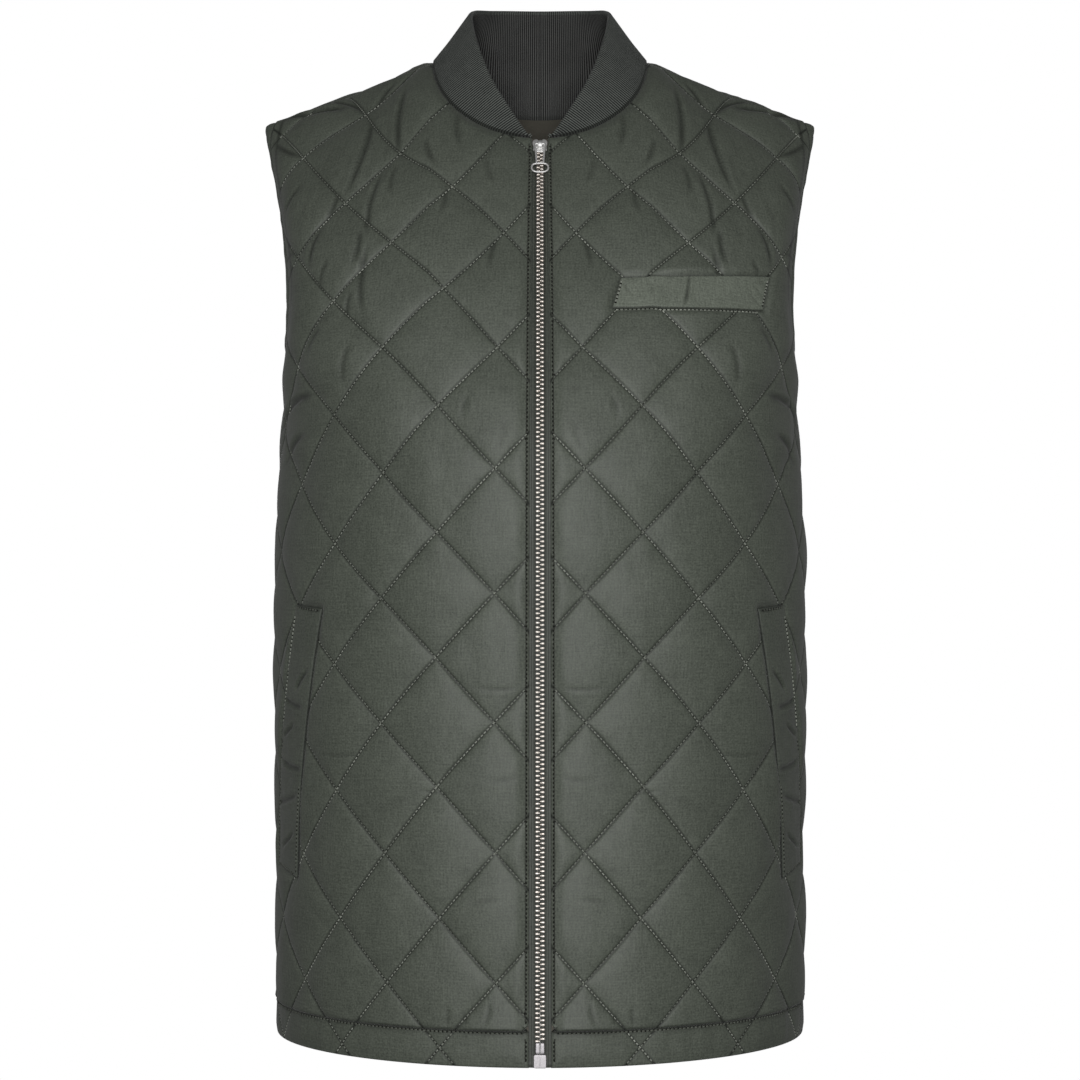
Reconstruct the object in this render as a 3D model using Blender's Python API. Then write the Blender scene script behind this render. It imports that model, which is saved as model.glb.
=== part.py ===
"""Quilted gilet with a rib-knit collar and a metal front zip, filled out as when worn.

Metres, +Z up. The origin is on the neck's centre line, level with the high points of the
shoulders that carry the garment. The front faces -Y and the wearer's left is +X.

Each panel is cut flat from quilted cloth and then shaped: a cloth point has a distance
"across" from the centre line, a distance "up" from the hem and a distance "out" from the
panel's inner face.
"""
import math

import bmesh
import bpy
import numpy as np
from mathutils import Matrix, Vector

# The figure that the garment fills: one row for each level section below the bust line
BODY_COLUMNS = ("height", "half_width", "front_depth", "back_depth", "roundness")
BODY = np.array((
    (-0.694, 0.1865, 0.148, 0.108, 1.95),
    (-0.580, 0.1845, 0.146, 0.104, 2.10),
    (-0.450, 0.1860, 0.145, 0.102, 2.20),
    (-0.356, 0.1850, 0.147, 0.106, 2.20),
    (-0.290, 0.1825, 0.148, 0.111, 2.20),
))
# Above the bust line a section rises by this share of the way to the shoulder ridge
YOKE_COLUMNS = ("rise", "half_width", "roundness")
YOKE = np.array((
    (0.00, 0.1825, 2.2),
    (0.20, 0.1784, 2.7),
    (0.35, 0.1795, 3.2),
    (0.65, 0.1815, 4.2),
    (1.00, 0.1968, 3.0),
))
CHEST_SLOPE_POWER = 1.38
BACK_SLOPE_POWER = 2.45
HIGH_POINT_X = 0.0765
SHOULDER_DROP = 0.0445
SHOULDER_SAG = 0.0030

# The cut of the panels
PANEL_WIDTH = 0.258
SEAM_GAP = 0.0003
ARMHOLE_BOTTOM_HEIGHT = -0.214
ARMHOLE_SCOOP = 0.060
ARMHOLE_TIP_INSET = 0.0095
ARMHOLE_STATIONS = 24
FRONT_NECK_DROP = 0.062
BACK_NECK_DROP = 0.029
FRONT_NECK_STATIONS = 17
BACK_NECK_STATIONS = 14
FRONT_EDGE_TOP = 0.0062
FRONT_EDGE_HEM = 0.0074

# The quilting: rows and columns of stitch crossings
QUILT_ACROSS = 0.0377
QUILT_UP = 0.0431
QUILT_FIRST_COLUMN = 0.0288
QUILT_ROW_HEIGHT = 0.5734
QUILT_DROOP = 0.016
STITCHED_THICKNESS = 0.0020
PUFF = 0.0040
HEM_DEPTH = 0.024
HEM_GROOVE = 0.006
EDGE_FLAT = 0.010
GRID_STEPS = 2

# Pocket welts, by their corners in the front view (x towards the panel's side seam, z)
WELT_THICKNESS = 0.0024
CHEST_WELT = ((0.0485, -0.1860), (0.1510, -0.1850), (0.1566, -0.1610), (0.0545, -0.1650))
SIDE_WELT = ((0.1660, -0.5770), (0.1810, -0.5700), (0.1660, -0.3870), (0.1470, -0.3890))
WELT_MARGIN = 0.003
WELT_CELL = (0.008, 0.024)

# The rib-knit collar: its top edge, from the zip (0) to the centre back (1) and on
COLLAR_COLUMNS = ("share", "x", "y", "z")
COLLAR_TOP = np.array((
    (0.00, 0.0095, -0.0645, -0.0600),
    (0.15, 0.0235, -0.0620, -0.0360),
    (0.30, 0.0340, -0.0540, -0.0170),
    (0.45, 0.0425, -0.0400, 0.0060),
    (0.60, 0.0470, -0.0180, 0.0270),
    (0.72, 0.0465, 0.0080, 0.0390),
    (0.85, 0.0330, 0.0380, 0.0460),
    (1.00, 0.0000, 0.0540, 0.0490),
    (1.15, -0.0330, 0.0380, 0.0460),
))
COLLAR_THICKNESS = 0.0030
COLLAR_GAP = 0.0005
COLLAR_ROWS = 3

# The armhole binding, a strip folded double: its section by reach beyond the panel and height out
BINDING_WIDTH = 0.0080
BINDING_THICKNESS = 0.0024
BINDING_PROFILE = ((0.04, 0.0), (0.04, 0.9), (0.30, 1.1), (0.75, 1.0), (1.0, 0.5), (0.75, 0.0))

# The zip
CHAIN_HALF_WIDTH = 0.0031
CHAIN_FRONT = 0.0016
CHAIN_BACK = 0.0010
TAPE_INNER_EDGE = 0.0035
TAPE_OUTER_EDGE = 0.0160
TAPE_THICKNESS = 0.0010
TAPE_GAP = 0.0008
ZIP_CELL = (0.050, 0.024)
SLIDER_BELOW_NECK = 0.0085
SLIDER_LENGTH = 0.0115
SLIDER_WIDTH = 0.0105
SLIDER_PLATE = 0.0014
SLIDER_PLATE_FRONT = 0.0020
SLIDER_PLATE_BACK = -0.0026
# One plate's half outline, as shares of its half width and half length
SLIDER_OUTLINE = ((0.55, 1.0), (1.0, 0.55), (0.92, 0.0), (0.72, -1.0))
POST_WIDTH = 0.0022
POST_LENGTH = 0.0030
POST_INSET = 0.0020
CROWN_WIDTH = 0.0030
CROWN_LENGTH = 0.0066
CROWN_HEIGHT = 0.0034
AXLE_HOLE = 0.0011
HOLE_SIDES = 16
WIRE = 0.0007
PULL_WIDTH = 0.0068
PULL_ARM = 0.0165
PULL_NARROWING = 0.72
RING_WIDTH = 0.0115
RING_LENGTH = 0.0074
RING_ROUNDNESS = 2.6
RING_SIDES = 24
RING_CLEARANCE = 0.0022
BOX_WIDTH = 0.0084
BOX_LENGTH = 0.0090
BOX_THICKNESS = 0.0030
PIN_LENGTH = 0.0075
PIN_WIDTH = 0.0029
PIN_THICKNESS = 0.0022

# Shaping and meshing
ROWS_BELOW = 80
ROWS_ABOVE = 80
COLUMNS = 161
ARC_SAMPLES = 1200
REFERENCE_SHARE = 0.3
NORMAL_STEP = 0.003
SOLVE_ROUNDS = 40
SOLVE_EASE = 0.7
SLAB = 0.01
MERGE = 0.0004
WELD = 1e-6
SHARP_ANGLE = math.radians(40)
SHEET_MARGIN = 0.01
RIGHT = -1
LEFT = 1

MATERIALS = {
    "shell_cloth": ((0.085, 0.095, 0.075, 1.0), 0.62, 0.0),
    "rib_knit": ((0.075, 0.085, 0.070, 1.0), 0.85, 0.0),
    "zip_tape": ((0.060, 0.064, 0.054, 1.0), 0.80, 0.0),
    "brass_teeth": ((0.72, 0.62, 0.47, 1.0), 0.30, 1.0),
    "nickel": ((0.78, 0.77, 0.75, 1.0), 0.22, 1.0),
}


def clear_scene():
    for item in list(bpy.data.objects):
        bpy.data.objects.remove(item, do_unlink=True)


def make_material(name):
    colour, roughness, metallic = MATERIALS[name]
    material = bpy.data.materials.new(name)
    material.use_nodes = True
    shader = material.node_tree.nodes["Principled BSDF"]
    shader.inputs["Base Color"].default_value = colour
    shader.inputs["Roughness"].default_value = roughness
    shader.inputs["Metallic"].default_value = metallic
    return material


def smooth_table(value, knots, results):
    """A smooth curve through a table's rows, read at value."""
    steps = np.diff(results) / np.diff(knots)
    slopes = np.concatenate(([steps[0]], (steps[1:] + steps[:-1]) / 2, [steps[-1]]))
    row = np.clip(np.searchsorted(knots, value) - 1, 0, len(knots) - 2)
    width = knots[row + 1] - knots[row]
    part = (value - knots[row]) / width
    rest = 1 - part
    return (
        (1 + 2 * part) * rest**2 * results[row]
        + part * rest**2 * width * slopes[row]
        + part**2 * (3 - 2 * part) * results[row + 1]
        - part**2 * rest * width * slopes[row + 1]
    )


def body_value(height, column):
    index = BODY_COLUMNS.index(column)
    return smooth_table(height, BODY[:, 0], BODY[:, index])


def yoke_value(rise, column):
    index = YOKE_COLUMNS.index(column)
    return smooth_table(rise, YOKE[:, 0], YOKE[:, index])


def ridge_height(x):
    """Height of the shoulder ridge: level across the neck, then sagging to the shoulder's tip."""
    tip = YOKE[-1, YOKE_COLUMNS.index("half_width")]
    share = np.clip((x - HIGH_POINT_X) / (tip - HIGH_POINT_X), 0, 1)
    return -SHOULDER_DROP * share - SHOULDER_SAG * np.sin(math.pi * share)


class Shape:
    """The worn shape of the front or the back: cloth distances in, points in space out."""

    def __init__(self, facing, depth_column, slope_power):
        self.facing = facing
        rows = [self.body_row(depth_column, i / ROWS_BELOW) for i in range(ROWS_BELOW)]
        rows += [self.yoke_row(depth_column, slope_power, i / ROWS_ABOVE) for i in range(ROWS_ABOVE + 1)]
        self.grid = np.array(rows)
        reference = self.grid[:, round(REFERENCE_SHARE * (COLUMNS - 1))]
        lengths = np.linalg.norm(np.diff(reference, axis=0), axis=1)
        self.heights = np.concatenate(([0], np.cumsum(lengths)))
        self.top = self.heights[-1]

    def body_row(self, depth_column, share):
        height = BODY[0, 0] + (BODY[-1, 0] - BODY[0, 0]) * share
        x, y = self.section(
            body_value(height, "half_width"),
            body_value(height, depth_column),
            body_value(height, "roundness"),
        )
        return self.even_points(x, y, np.full_like(x, height))

    def yoke_row(self, depth_column, power, share):
        turn = share * math.pi / 2
        rise = math.sin(turn) ** (2 / power)
        reach = max(math.cos(turn), 0) ** (2 / power)
        bust = BODY[-1, 0]
        x, y = self.section(
            yoke_value(rise, "half_width"),
            body_value(bust, depth_column) * reach,
            yoke_value(rise, "roundness"),
        )
        return self.even_points(x, y, bust + (ridge_height(x) - bust) * rise)

    def section(self, half_width, depth, roundness):
        angle = np.linspace(0, math.pi / 2, ARC_SAMPLES)
        x = half_width * np.sin(angle) ** (2 / roundness)
        y = self.facing * depth * np.abs(np.cos(angle)) ** (2 / roundness)
        return x, y

    def even_points(self, x, y, z):
        points = np.stack((x, y, z), axis=1)
        steps = np.linalg.norm(np.diff(points, axis=0), axis=1)
        along = np.concatenate(([0], np.cumsum(steps)))
        even = np.linspace(0, along[-1], COLUMNS)
        return np.stack([np.interp(even, along, points[:, k]) for k in range(3)], axis=1)

    def surface(self, across, up):
        """Points of the panel's inner face."""
        column = np.clip(np.abs(across) / PANEL_WIDTH, 0, 1) * (COLUMNS - 1)
        row = np.interp(up, self.heights, np.arange(len(self.heights)))
        i = np.minimum(row.astype(int), len(self.heights) - 2)
        j = np.minimum(column.astype(int), COLUMNS - 2)
        di = (row - i)[:, None]
        dj = (column - j)[:, None]
        low = self.grid[i, j] * (1 - dj) + self.grid[i, j + 1] * dj
        high = self.grid[i + 1, j] * (1 - dj) + self.grid[i + 1, j + 1] * dj
        points = low * (1 - di) + high * di
        points[:, 0] *= np.where(across < 0, -1, 1)
        return points

    def normal(self, across, up):
        """Directions that point out of the garment."""
        side = np.abs(across)
        left = np.clip(side - NORMAL_STEP, 0, PANEL_WIDTH)
        right = np.clip(side + NORMAL_STEP, 0, PANEL_WIDTH)
        below = np.clip(up - NORMAL_STEP, 0, self.top)
        above = np.clip(up + NORMAL_STEP, 0, self.top)
        sideways = self.surface(right, up) - self.surface(left, up)
        upward = self.surface(side, above) - self.surface(side, below)
        out = np.cross(sideways, upward) * -self.facing
        out /= np.linalg.norm(out, axis=1)[:, None]
        out[:, 0] *= np.where(across < 0, -1, 1)
        return out

    def place(self, across, up, out):
        across = np.asarray(across, dtype=float)
        up = np.asarray(up, dtype=float)
        out = np.broadcast_to(np.asarray(out, dtype=float), across.shape)
        return self.surface(across, up) + self.normal(across, up) * out[:, None]

    def cloth_at(self, x, z):
        """The cloth distances of the point seen at x, z in the front view."""
        across = np.array([abs(x)])
        up = np.array([z - BODY[0, 0]])
        step = NORMAL_STEP / 10
        for _ in range(SOLVE_ROUNDS):
            here = self.surface(across, up)[0]
            side = (self.surface(across + step, up)[0] - here) / step
            rise = (self.surface(across, up + step)[0] - here) / step
            matrix = np.array(((side[0], rise[0]), (side[2], rise[2])))
            miss = np.array((abs(x) - here[0], z - here[2]))
            move = np.linalg.lstsq(matrix, miss, rcond=None)[0]
            across = np.clip(across + SOLVE_EASE * move[0], 0, PANEL_WIDTH - step)
            up = np.clip(up + SOLVE_EASE * move[1], 0, self.top - step)
        return float(across[0]), float(up[0])


FRONT = Shape(-1, "front_depth", CHEST_SLOPE_POWER)
BACK = Shape(1, "back_depth", BACK_SLOPE_POWER)


def armhole_curve(shape):
    """Cloth points of one panel's armhole edge, from the underarm to the shoulder's tip."""
    bottom = np.interp(ARMHOLE_BOTTOM_HEIGHT, shape.grid[:, -1, 2], shape.heights)
    share = np.sin(np.linspace(0, math.pi / 2, ARMHOLE_STATIONS)) ** 2
    scoop = np.sqrt(share) * (1 - share) ** 2
    scoop *= ARMHOLE_SCOOP / scoop.max()
    across = PANEL_WIDTH - SEAM_GAP / 2 - scoop - ARMHOLE_TIP_INSET * share
    up = bottom + (shape.top - SEAM_GAP / 2 - bottom) * share
    return np.stack((across, up), axis=1)


def neck_curve(shape, drop, count):
    """Cloth points of half a neckline, from the shoulder to the centre line."""
    turns = np.linspace(0, math.pi / 2, count)
    points = [shape.cloth_at(HIGH_POINT_X * math.cos(turn), -drop * math.sin(turn)) for turn in turns]
    curve = np.array(points)
    curve[0, 1] = shape.top - SEAM_GAP / 2
    curve[-1, 0] = 0
    return curve


def front_edge(up):
    """Distance from the zip's centre line to the front's folded edge."""
    return FRONT_EDGE_HEM + (FRONT_EDGE_TOP - FRONT_EDGE_HEM) * up / FRONT.top


def front_neck():
    """The front's neckline, which ends at its folded edge."""
    curve = neck_curve(FRONT, FRONT_NECK_DROP, FRONT_NECK_STATIONS)
    curve[-1, 0] = front_edge(curve[-1, 1])
    return curve


def back_neck():
    return neck_curve(BACK, BACK_NECK_DROP, BACK_NECK_STATIONS)


def panel_side(shape, neck):
    """A panel's outline from the hem's side corner, by the armhole, to the end of the neckline."""
    corner = np.array([[PANEL_WIDTH - SEAM_GAP / 2, 0.0]])
    return np.concatenate((corner, armhole_curve(shape), neck))


def front_outline():
    points = np.concatenate(([[front_edge(0), 0.0]], panel_side(FRONT, front_neck())))
    return [tuple(point) for point in points]


def back_outline():
    half = panel_side(BACK, back_neck())
    other = half[-2::-1] * np.array((-1, 1))
    return [tuple(point) for point in np.concatenate((half, other))]


def edge_distance(points, outline):
    """Distance of each cloth point from an outline."""
    nearest = np.full(len(points), np.inf)
    for start, end in zip(outline, outline[1:] + outline[:1]):
        start = np.array(start)
        run = np.array(end) - start
        share = np.clip((points - start) @ run / (run @ run), 0, 1)
        gap = np.linalg.norm(points - start - share[:, None] * run, axis=1)
        nearest = np.minimum(nearest, gap)
    return nearest


def inside_margin(points, corners, margin):
    """True for the cloth points that lie in a convex patch grown by the margin."""
    centre = np.mean(corners, axis=0)
    inside = np.ones(len(points), dtype=bool)
    for start, end in zip(corners, corners[1:] + corners[:1]):
        normal = np.array((end[1] - start[1], start[0] - end[0]))
        normal /= np.linalg.norm(normal)
        if (centre - start) @ normal > 0:
            normal = -normal
        inside &= (points - start) @ normal <= margin + MERGE
    return inside


def quilt_droop(across):
    """How much lower the rows of quilting lie towards the side seam."""
    return QUILT_DROOP * (across / PANEL_WIDTH) ** 2


def puff_height(points, first_column):
    """How far the padding lifts the cloth between its lines of quilting, from 0 to 1."""
    across = (points[:, 0] - first_column) / QUILT_ACROSS
    up = (points[:, 1] + quilt_droop(points[:, 0]) - QUILT_ROW_HEIGHT) / QUILT_UP
    rising = 1 - np.abs(2 * (((across - up) / 2) % 1) - 1)
    falling = 1 - np.abs(2 * (((across + up) / 2) % 1) - 1)
    return np.sqrt(rising * (2 - rising) * falling * (2 - falling))


def quilted_out(points, outline, first_column, patches):
    """Distance of the panel's outer face from its inner face."""
    puff = puff_height(points, first_column)
    puff *= np.clip(edge_distance(points, outline) / EDGE_FLAT, 0, 1)
    puff *= np.clip(np.abs(points[:, 1] - HEM_DEPTH) / HEM_GROOVE, 0, 1)
    for corners in patches:
        puff[inside_margin(points, corners, WELT_MARGIN)] = 0
    return STITCHED_THICKNESS + PUFF * puff


def quilt_sheet(first_column, low, high, top):
    """A flat sheet whose edges run along the quilting, a few steps to a diamond."""
    step_across = QUILT_ACROSS / GRID_STEPS
    step_up = QUILT_UP / GRID_STEPS
    first = math.floor((low - first_column) / step_across)
    last = math.ceil((high - first_column) / step_across)
    bottom = math.floor(-QUILT_ROW_HEIGHT / step_up)
    upper = math.ceil((top + quilt_droop(high) - QUILT_ROW_HEIGHT) / step_up)
    sheet = bmesh.new()
    bmesh.ops.create_grid(sheet, x_segments=last - first, y_segments=upper - bottom, size=0.5)
    for vert in sheet.verts:
        vert.co.x = first_column + (first + (vert.co.x + 0.5) * (last - first)) * step_across
        vert.co.y = QUILT_ROW_HEIGHT + (bottom + (vert.co.y + 0.5) * (upper - bottom)) * step_up
    repeat = 2 * GRID_STEPS
    for face in list(sheet.faces):
        corners = sorted(face.verts, key=lambda vert: (round(vert.co.y, 5), round(vert.co.x, 5)))
        i = round((corners[0].co.x - first_column) / step_across)
        j = round((corners[0].co.y - QUILT_ROW_HEIGHT) / step_up)
        falls = (i + j + 1) % repeat == 0 or ((i - j) % repeat and (i - j) % 2)
        pair = (corners[1], corners[2]) if falls else (corners[0], corners[3])
        bmesh.utils.face_split(face, *pair)
    for vert in sheet.verts:
        vert.co.y -= quilt_droop(vert.co.x)
    return sheet


def plain_sheet(outline, cell):
    """A flat sheet of even cells that covers an outline."""
    size = np.ptp(outline, axis=0)
    count = np.maximum(np.ceil(size / cell).astype(int), 1)
    low = np.min(outline, axis=0) - size * SHEET_MARGIN
    high = np.max(outline, axis=0) + size * SHEET_MARGIN
    sheet = bmesh.new()
    bmesh.ops.create_grid(sheet, x_segments=int(count[0]), y_segments=int(count[1]), size=0.5)
    for vert in sheet.verts:
        vert.co.x = low[0] + (vert.co.x + 0.5) * (high[0] - low[0])
        vert.co.y = low[1] + (vert.co.y + 0.5) * (high[1] - low[1])
    return sheet


def score_line(sheet, point, direction, reach=None):
    """Adds a straight line of edges to the sheet, all along it or near one point."""
    faces = sheet.faces
    if reach:
        centre = Vector((*reach[0], 0))
        faces = [face for face in faces if (face.calc_center_median() - centre).length < reach[1]]
    geometry = set(faces)
    for face in faces:
        geometry.update(face.edges)
        geometry.update(face.verts)
    plane = Vector((direction[1], -direction[0], 0)).normalized()
    bmesh.ops.bisect_plane(
        sheet, geom=list(geometry), dist=MERGE / 4, plane_co=Vector((*point, 0)), plane_no=plane
    )


def score_patch(sheet, corners):
    """Adds the grown outline of a patch to the sheet, so that it can lie flat there."""
    centre = np.mean(corners, axis=0)
    reach = np.max(np.linalg.norm(np.array(corners) - centre, axis=1)) + QUILT_UP / 2
    for start, end in zip(corners, corners[1:] + corners[:1]):
        run = np.subtract(end, start)
        outward = np.array((run[1], -run[0])) / np.linalg.norm(run)
        if (np.array(start) - centre) @ outward < 0:
            outward = -outward
        score_line(sheet, np.array(start) + outward * WELT_MARGIN, run, (centre, reach))


def solid_object(name, sheet, thickness):
    bmesh.ops.translate(sheet, verts=sheet.verts, vec=(0, 0, -thickness / 2))
    grown = bmesh.ops.extrude_face_region(sheet, geom=sheet.faces)
    top = [item for item in grown["geom"] if isinstance(item, bmesh.types.BMVert)]
    bmesh.ops.translate(sheet, verts=top, vec=(0, 0, thickness))
    bmesh.ops.recalc_face_normals(sheet, faces=sheet.faces)
    mesh = bpy.data.meshes.new(name)
    sheet.to_mesh(mesh)
    sheet.free()
    item = bpy.data.objects.new(name, mesh)
    bpy.context.scene.collection.objects.link(item)
    return item


def cut_flat(sheet, outline):
    """Cuts a flat sheet to an outline, as a slab with an inner and an outer face."""
    pattern = bmesh.new()
    pattern.faces.new([pattern.verts.new((*point, 0)) for point in outline])
    slab = solid_object("slab", sheet, SLAB)
    cutter = solid_object("pattern", pattern, 3 * SLAB)
    cut = slab.modifiers.new("cut", "BOOLEAN")
    cut.operation = "INTERSECT"
    cut.object = cutter
    evaluated = slab.evaluated_get(bpy.context.evaluated_depsgraph_get())
    mesh = bpy.data.meshes.new_from_object(evaluated)
    bpy.data.objects.remove(slab, do_unlink=True)
    bpy.data.objects.remove(cutter, do_unlink=True)
    flat = bmesh.new()
    flat.from_mesh(mesh)
    bmesh.ops.remove_doubles(flat, verts=flat.verts, dist=MERGE)
    bmesh.ops.triangulate(flat, faces=flat.faces)
    return flat


def add_part(name, mesh, material):
    item = bpy.data.objects.new(name, mesh)
    mesh.materials.clear()
    mesh.materials.append(material)
    bpy.data.collections["gilet"].objects.link(item)
    return item


def part_from_bmesh(name, solid, material, smooth=True):
    bmesh.ops.recalc_face_normals(solid, faces=solid.faces)
    if solid.calc_volume(signed=True) < 0:
        bmesh.ops.reverse_faces(solid, faces=solid.faces)
    mesh = bpy.data.meshes.new(name)
    solid.to_mesh(mesh)
    solid.free()
    if smooth:
        mesh.shade_smooth()
        mesh.set_sharp_from_angle(angle=SHARP_ANGLE)
    return add_part(name, mesh, material)


def shaped_part(name, flat, shape, hand, inner, outer, material):
    """Bends a flat cut piece to the worn shape. Inner and outer give its two faces' distances out."""
    co = np.array([vert.co for vert in flat.verts])
    points = co[:, :2]
    out = np.where(co[:, 2] > 0, outer(points), inner(points))
    placed = shape.place(points[:, 0] * hand, points[:, 1], out)
    for vert, position in zip(flat.verts, placed):
        vert.co = position
    return part_from_bmesh(name, flat, material)


def welt_corners(corners):
    return [FRONT.cloth_at(x, z) for x, z in corners]


def make_front(name, hand, patches, material):
    outline = front_outline()
    sheet = quilt_sheet(QUILT_FIRST_COLUMN, 0, PANEL_WIDTH, FRONT.top)
    score_line(sheet, (0, HEM_DEPTH), (1, 0))
    for corners in patches:
        score_patch(sheet, corners)
    shaped_part(
        name, cut_flat(sheet, outline), FRONT, hand,
        lambda points: np.zeros(len(points)),
        lambda points: quilted_out(points, outline, QUILT_FIRST_COLUMN, patches),
        material,
    )


def make_back(material):
    outline = back_outline()
    sheet = quilt_sheet(0.0, -PANEL_WIDTH, PANEL_WIDTH, BACK.top)
    score_line(sheet, (0, HEM_DEPTH), (1, 0))
    shaped_part(
        "back", cut_flat(sheet, outline), BACK, 1,
        lambda points: np.zeros(len(points)),
        lambda points: quilted_out(points, outline, 0.0, ()),
        material,
    )


def make_strip(name, outline, shape, hand, inner, outer, cell, material):
    """A plain piece of cloth between two distances from the panel's inner face."""
    flat = cut_flat(plain_sheet(outline, cell), outline)
    shaped_part(
        name, flat, shape, hand,
        lambda points: np.full(len(points), inner),
        lambda points: np.full(len(points), outer),
        material,
    )


def make_welts(material):
    low = STITCHED_THICKNESS + SEAM_GAP
    high = low + WELT_THICKNESS
    make_strip("chest_pocket_welt", welt_corners(CHEST_WELT), FRONT, LEFT, low, high, WELT_CELL, material)
    for name, hand in (("right", RIGHT), ("left", LEFT)):
        corners = welt_corners(SIDE_WELT)
        make_strip(f"side_pocket_welt_{name}", corners, FRONT, hand, low, high, WELT_CELL, material)


def wrapped_grid(rings, closed_along):
    """A tube through rings of points, closed along its length or capped at both ends."""
    stations = len(rings)
    around = len(rings[0])
    solid = bmesh.new()
    bmesh.ops.create_grid(solid, x_segments=around, y_segments=stations - (not closed_along), size=0.5)
    rows = stations if closed_along else stations - 1
    for vert in solid.verts:
        i = round((vert.co.y + 0.5) * rows) % stations
        j = round((vert.co.x + 0.5) * around) % around
        vert.co = rings[i][j]
    bmesh.ops.remove_doubles(solid, verts=solid.verts, dist=WELD)
    if not closed_along:
        bmesh.ops.holes_fill(solid, edges=solid.edges, sides=0)
    bmesh.ops.triangulate(solid, faces=solid.faces)
    return solid


def beyond_edge(curve):
    """Directions in the cloth's plane that leave the panel at each point of its edge."""
    run = np.gradient(curve, axis=0)
    beyond = np.stack((run[:, 1], -run[:, 0]), axis=1)
    return beyond / np.linalg.norm(beyond, axis=1)[:, None]


def binding_rings(shape, hand):
    """Rings of the folded strip along a panel's armhole edge."""
    curve = armhole_curve(shape)
    beyond = beyond_edge(curve)
    beyond[0] = (0, 1)
    beyond[-1] = (1, 0)
    rings = []
    for reach, out in BINDING_PROFILE:
        points = curve + beyond * reach * BINDING_WIDTH
        rings.append(shape.place(points[:, 0] * hand, points[:, 1], out * BINDING_THICKNESS))
    return list(np.stack(rings, axis=1))


def make_bindings(material):
    for name, hand in (("right", RIGHT), ("left", LEFT)):
        front = binding_rings(FRONT, hand)
        back = binding_rings(BACK, hand)
        rings = front + back[-2:0:-1]
        part_from_bmesh(f"armhole_binding_{name}", wrapped_grid(rings, True), material)


def neck_seam():
    """Base points and outward directions of half the collar, from the zip to the centre back."""
    points = []
    directions = []
    for shape, curve in ((FRONT, front_neck()), (BACK, back_neck())):
        base = curve + beyond_edge(curve) * COLLAR_GAP
        base[:, 1] = np.minimum(base[:, 1], shape.top)
        points.append(shape.surface(base[:, 0], base[:, 1]))
        directions.append(shape.normal(base[:, 0], base[:, 1]))
    base = np.concatenate((points[0][::-1], points[1][1:]))
    outward = np.concatenate((directions[0][::-1], directions[1][1:]))
    return base, outward


def collar_top(share):
    columns = [COLLAR_COLUMNS.index(name) for name in "xyz"]
    return np.array([smooth_table(share, COLLAR_TOP[:, 0], COLLAR_TOP[:, k]) for k in columns])


def make_collar(material):
    base, outward = neck_seam()
    steps = np.linalg.norm(np.diff(base, axis=0), axis=1)
    share = np.concatenate(([0], np.cumsum(steps))) / steps.sum()
    top = np.array([collar_top(value) for value in share])
    mirror = np.array((-1, 1, 1))
    base = np.concatenate((base[:-1] * mirror, base[::-1]))
    outward = np.concatenate((outward[:-1] * mirror, outward[::-1]))
    top = np.concatenate((top[:-1] * mirror, top[::-1]))
    along = np.gradient(top, axis=0)
    top_out = np.cross(along, top - base)
    top_out /= np.linalg.norm(top_out, axis=1)[:, None]
    top_out *= np.sign(np.sum(top_out * outward, axis=1))[:, None]
    rings = []
    for start, end, first, last in zip(base, top, outward, top_out):
        inner = []
        outer = []
        for row in range(COLLAR_ROWS + 1):
            part = row / COLLAR_ROWS
            out = first * (1 - part) + last * part
            out /= np.linalg.norm(out)
            middle = start * (1 - part) + end * part
            inner.append(middle)
            outer.append(middle + out * COLLAR_THICKNESS)
        rings.append(outer + inner[::-1])
    part_from_bmesh("collar", wrapped_grid(rings, False), material)


def zip_frame(up):
    """A frame on the zip's centre line: X across, Z up along the zip, -Y out of the garment."""
    point = FRONT.surface(np.array([0.0]), np.array([up]))[0]
    out = FRONT.normal(np.array([0.0]), np.array([up]))[0]
    lean = math.atan2(out[2], -out[1])
    return Matrix.Translation(point) @ Matrix.Rotation(-lean, 4, "X")


def box_mesh(solid, size, centre):
    made = bmesh.ops.create_cube(solid, size=1.0)
    for vert in made["verts"]:
        vert.co = Vector(vert.co[k] * size[k] + centre[k] for k in range(3))


def helper_object(name, solid):
    mesh = bpy.data.meshes.new(name)
    solid.to_mesh(mesh)
    solid.free()
    item = bpy.data.objects.new(name, mesh)
    bpy.data.collections["cutters"].objects.link(item)
    item.hide_render = True
    item.display_type = "WIRE"
    return item


def add_boolean(item, helper, operation):
    change = item.modifiers.new(helper.name, "BOOLEAN")
    change.operation = operation
    change.object = helper


def make_zip_strips(tape_material, teeth_material, neck, pin_top):
    for name, hand in (("right", RIGHT), ("left", LEFT)):
        outline = [(TAPE_INNER_EDGE, 0), (TAPE_OUTER_EDGE, 0), (TAPE_OUTER_EDGE, neck), (TAPE_INNER_EDGE, neck)]
        outline = [(float(p), float(v)) for p, v in outline]
        back = -TAPE_GAP - TAPE_THICKNESS
        make_strip(f"zip_tape_{name}", outline, FRONT, hand, back, -TAPE_GAP, ZIP_CELL, tape_material)
    low = pin_top + SEAM_GAP
    high = neck - SLIDER_BELOW_NECK
    half = CHAIN_HALF_WIDTH
    outline = [(-half, low), (half, low), (half, high), (-half, high)]
    make_strip("zip_chain", outline, FRONT, 1, -CHAIN_BACK, CHAIN_FRONT, ZIP_CELL, teeth_material)


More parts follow.
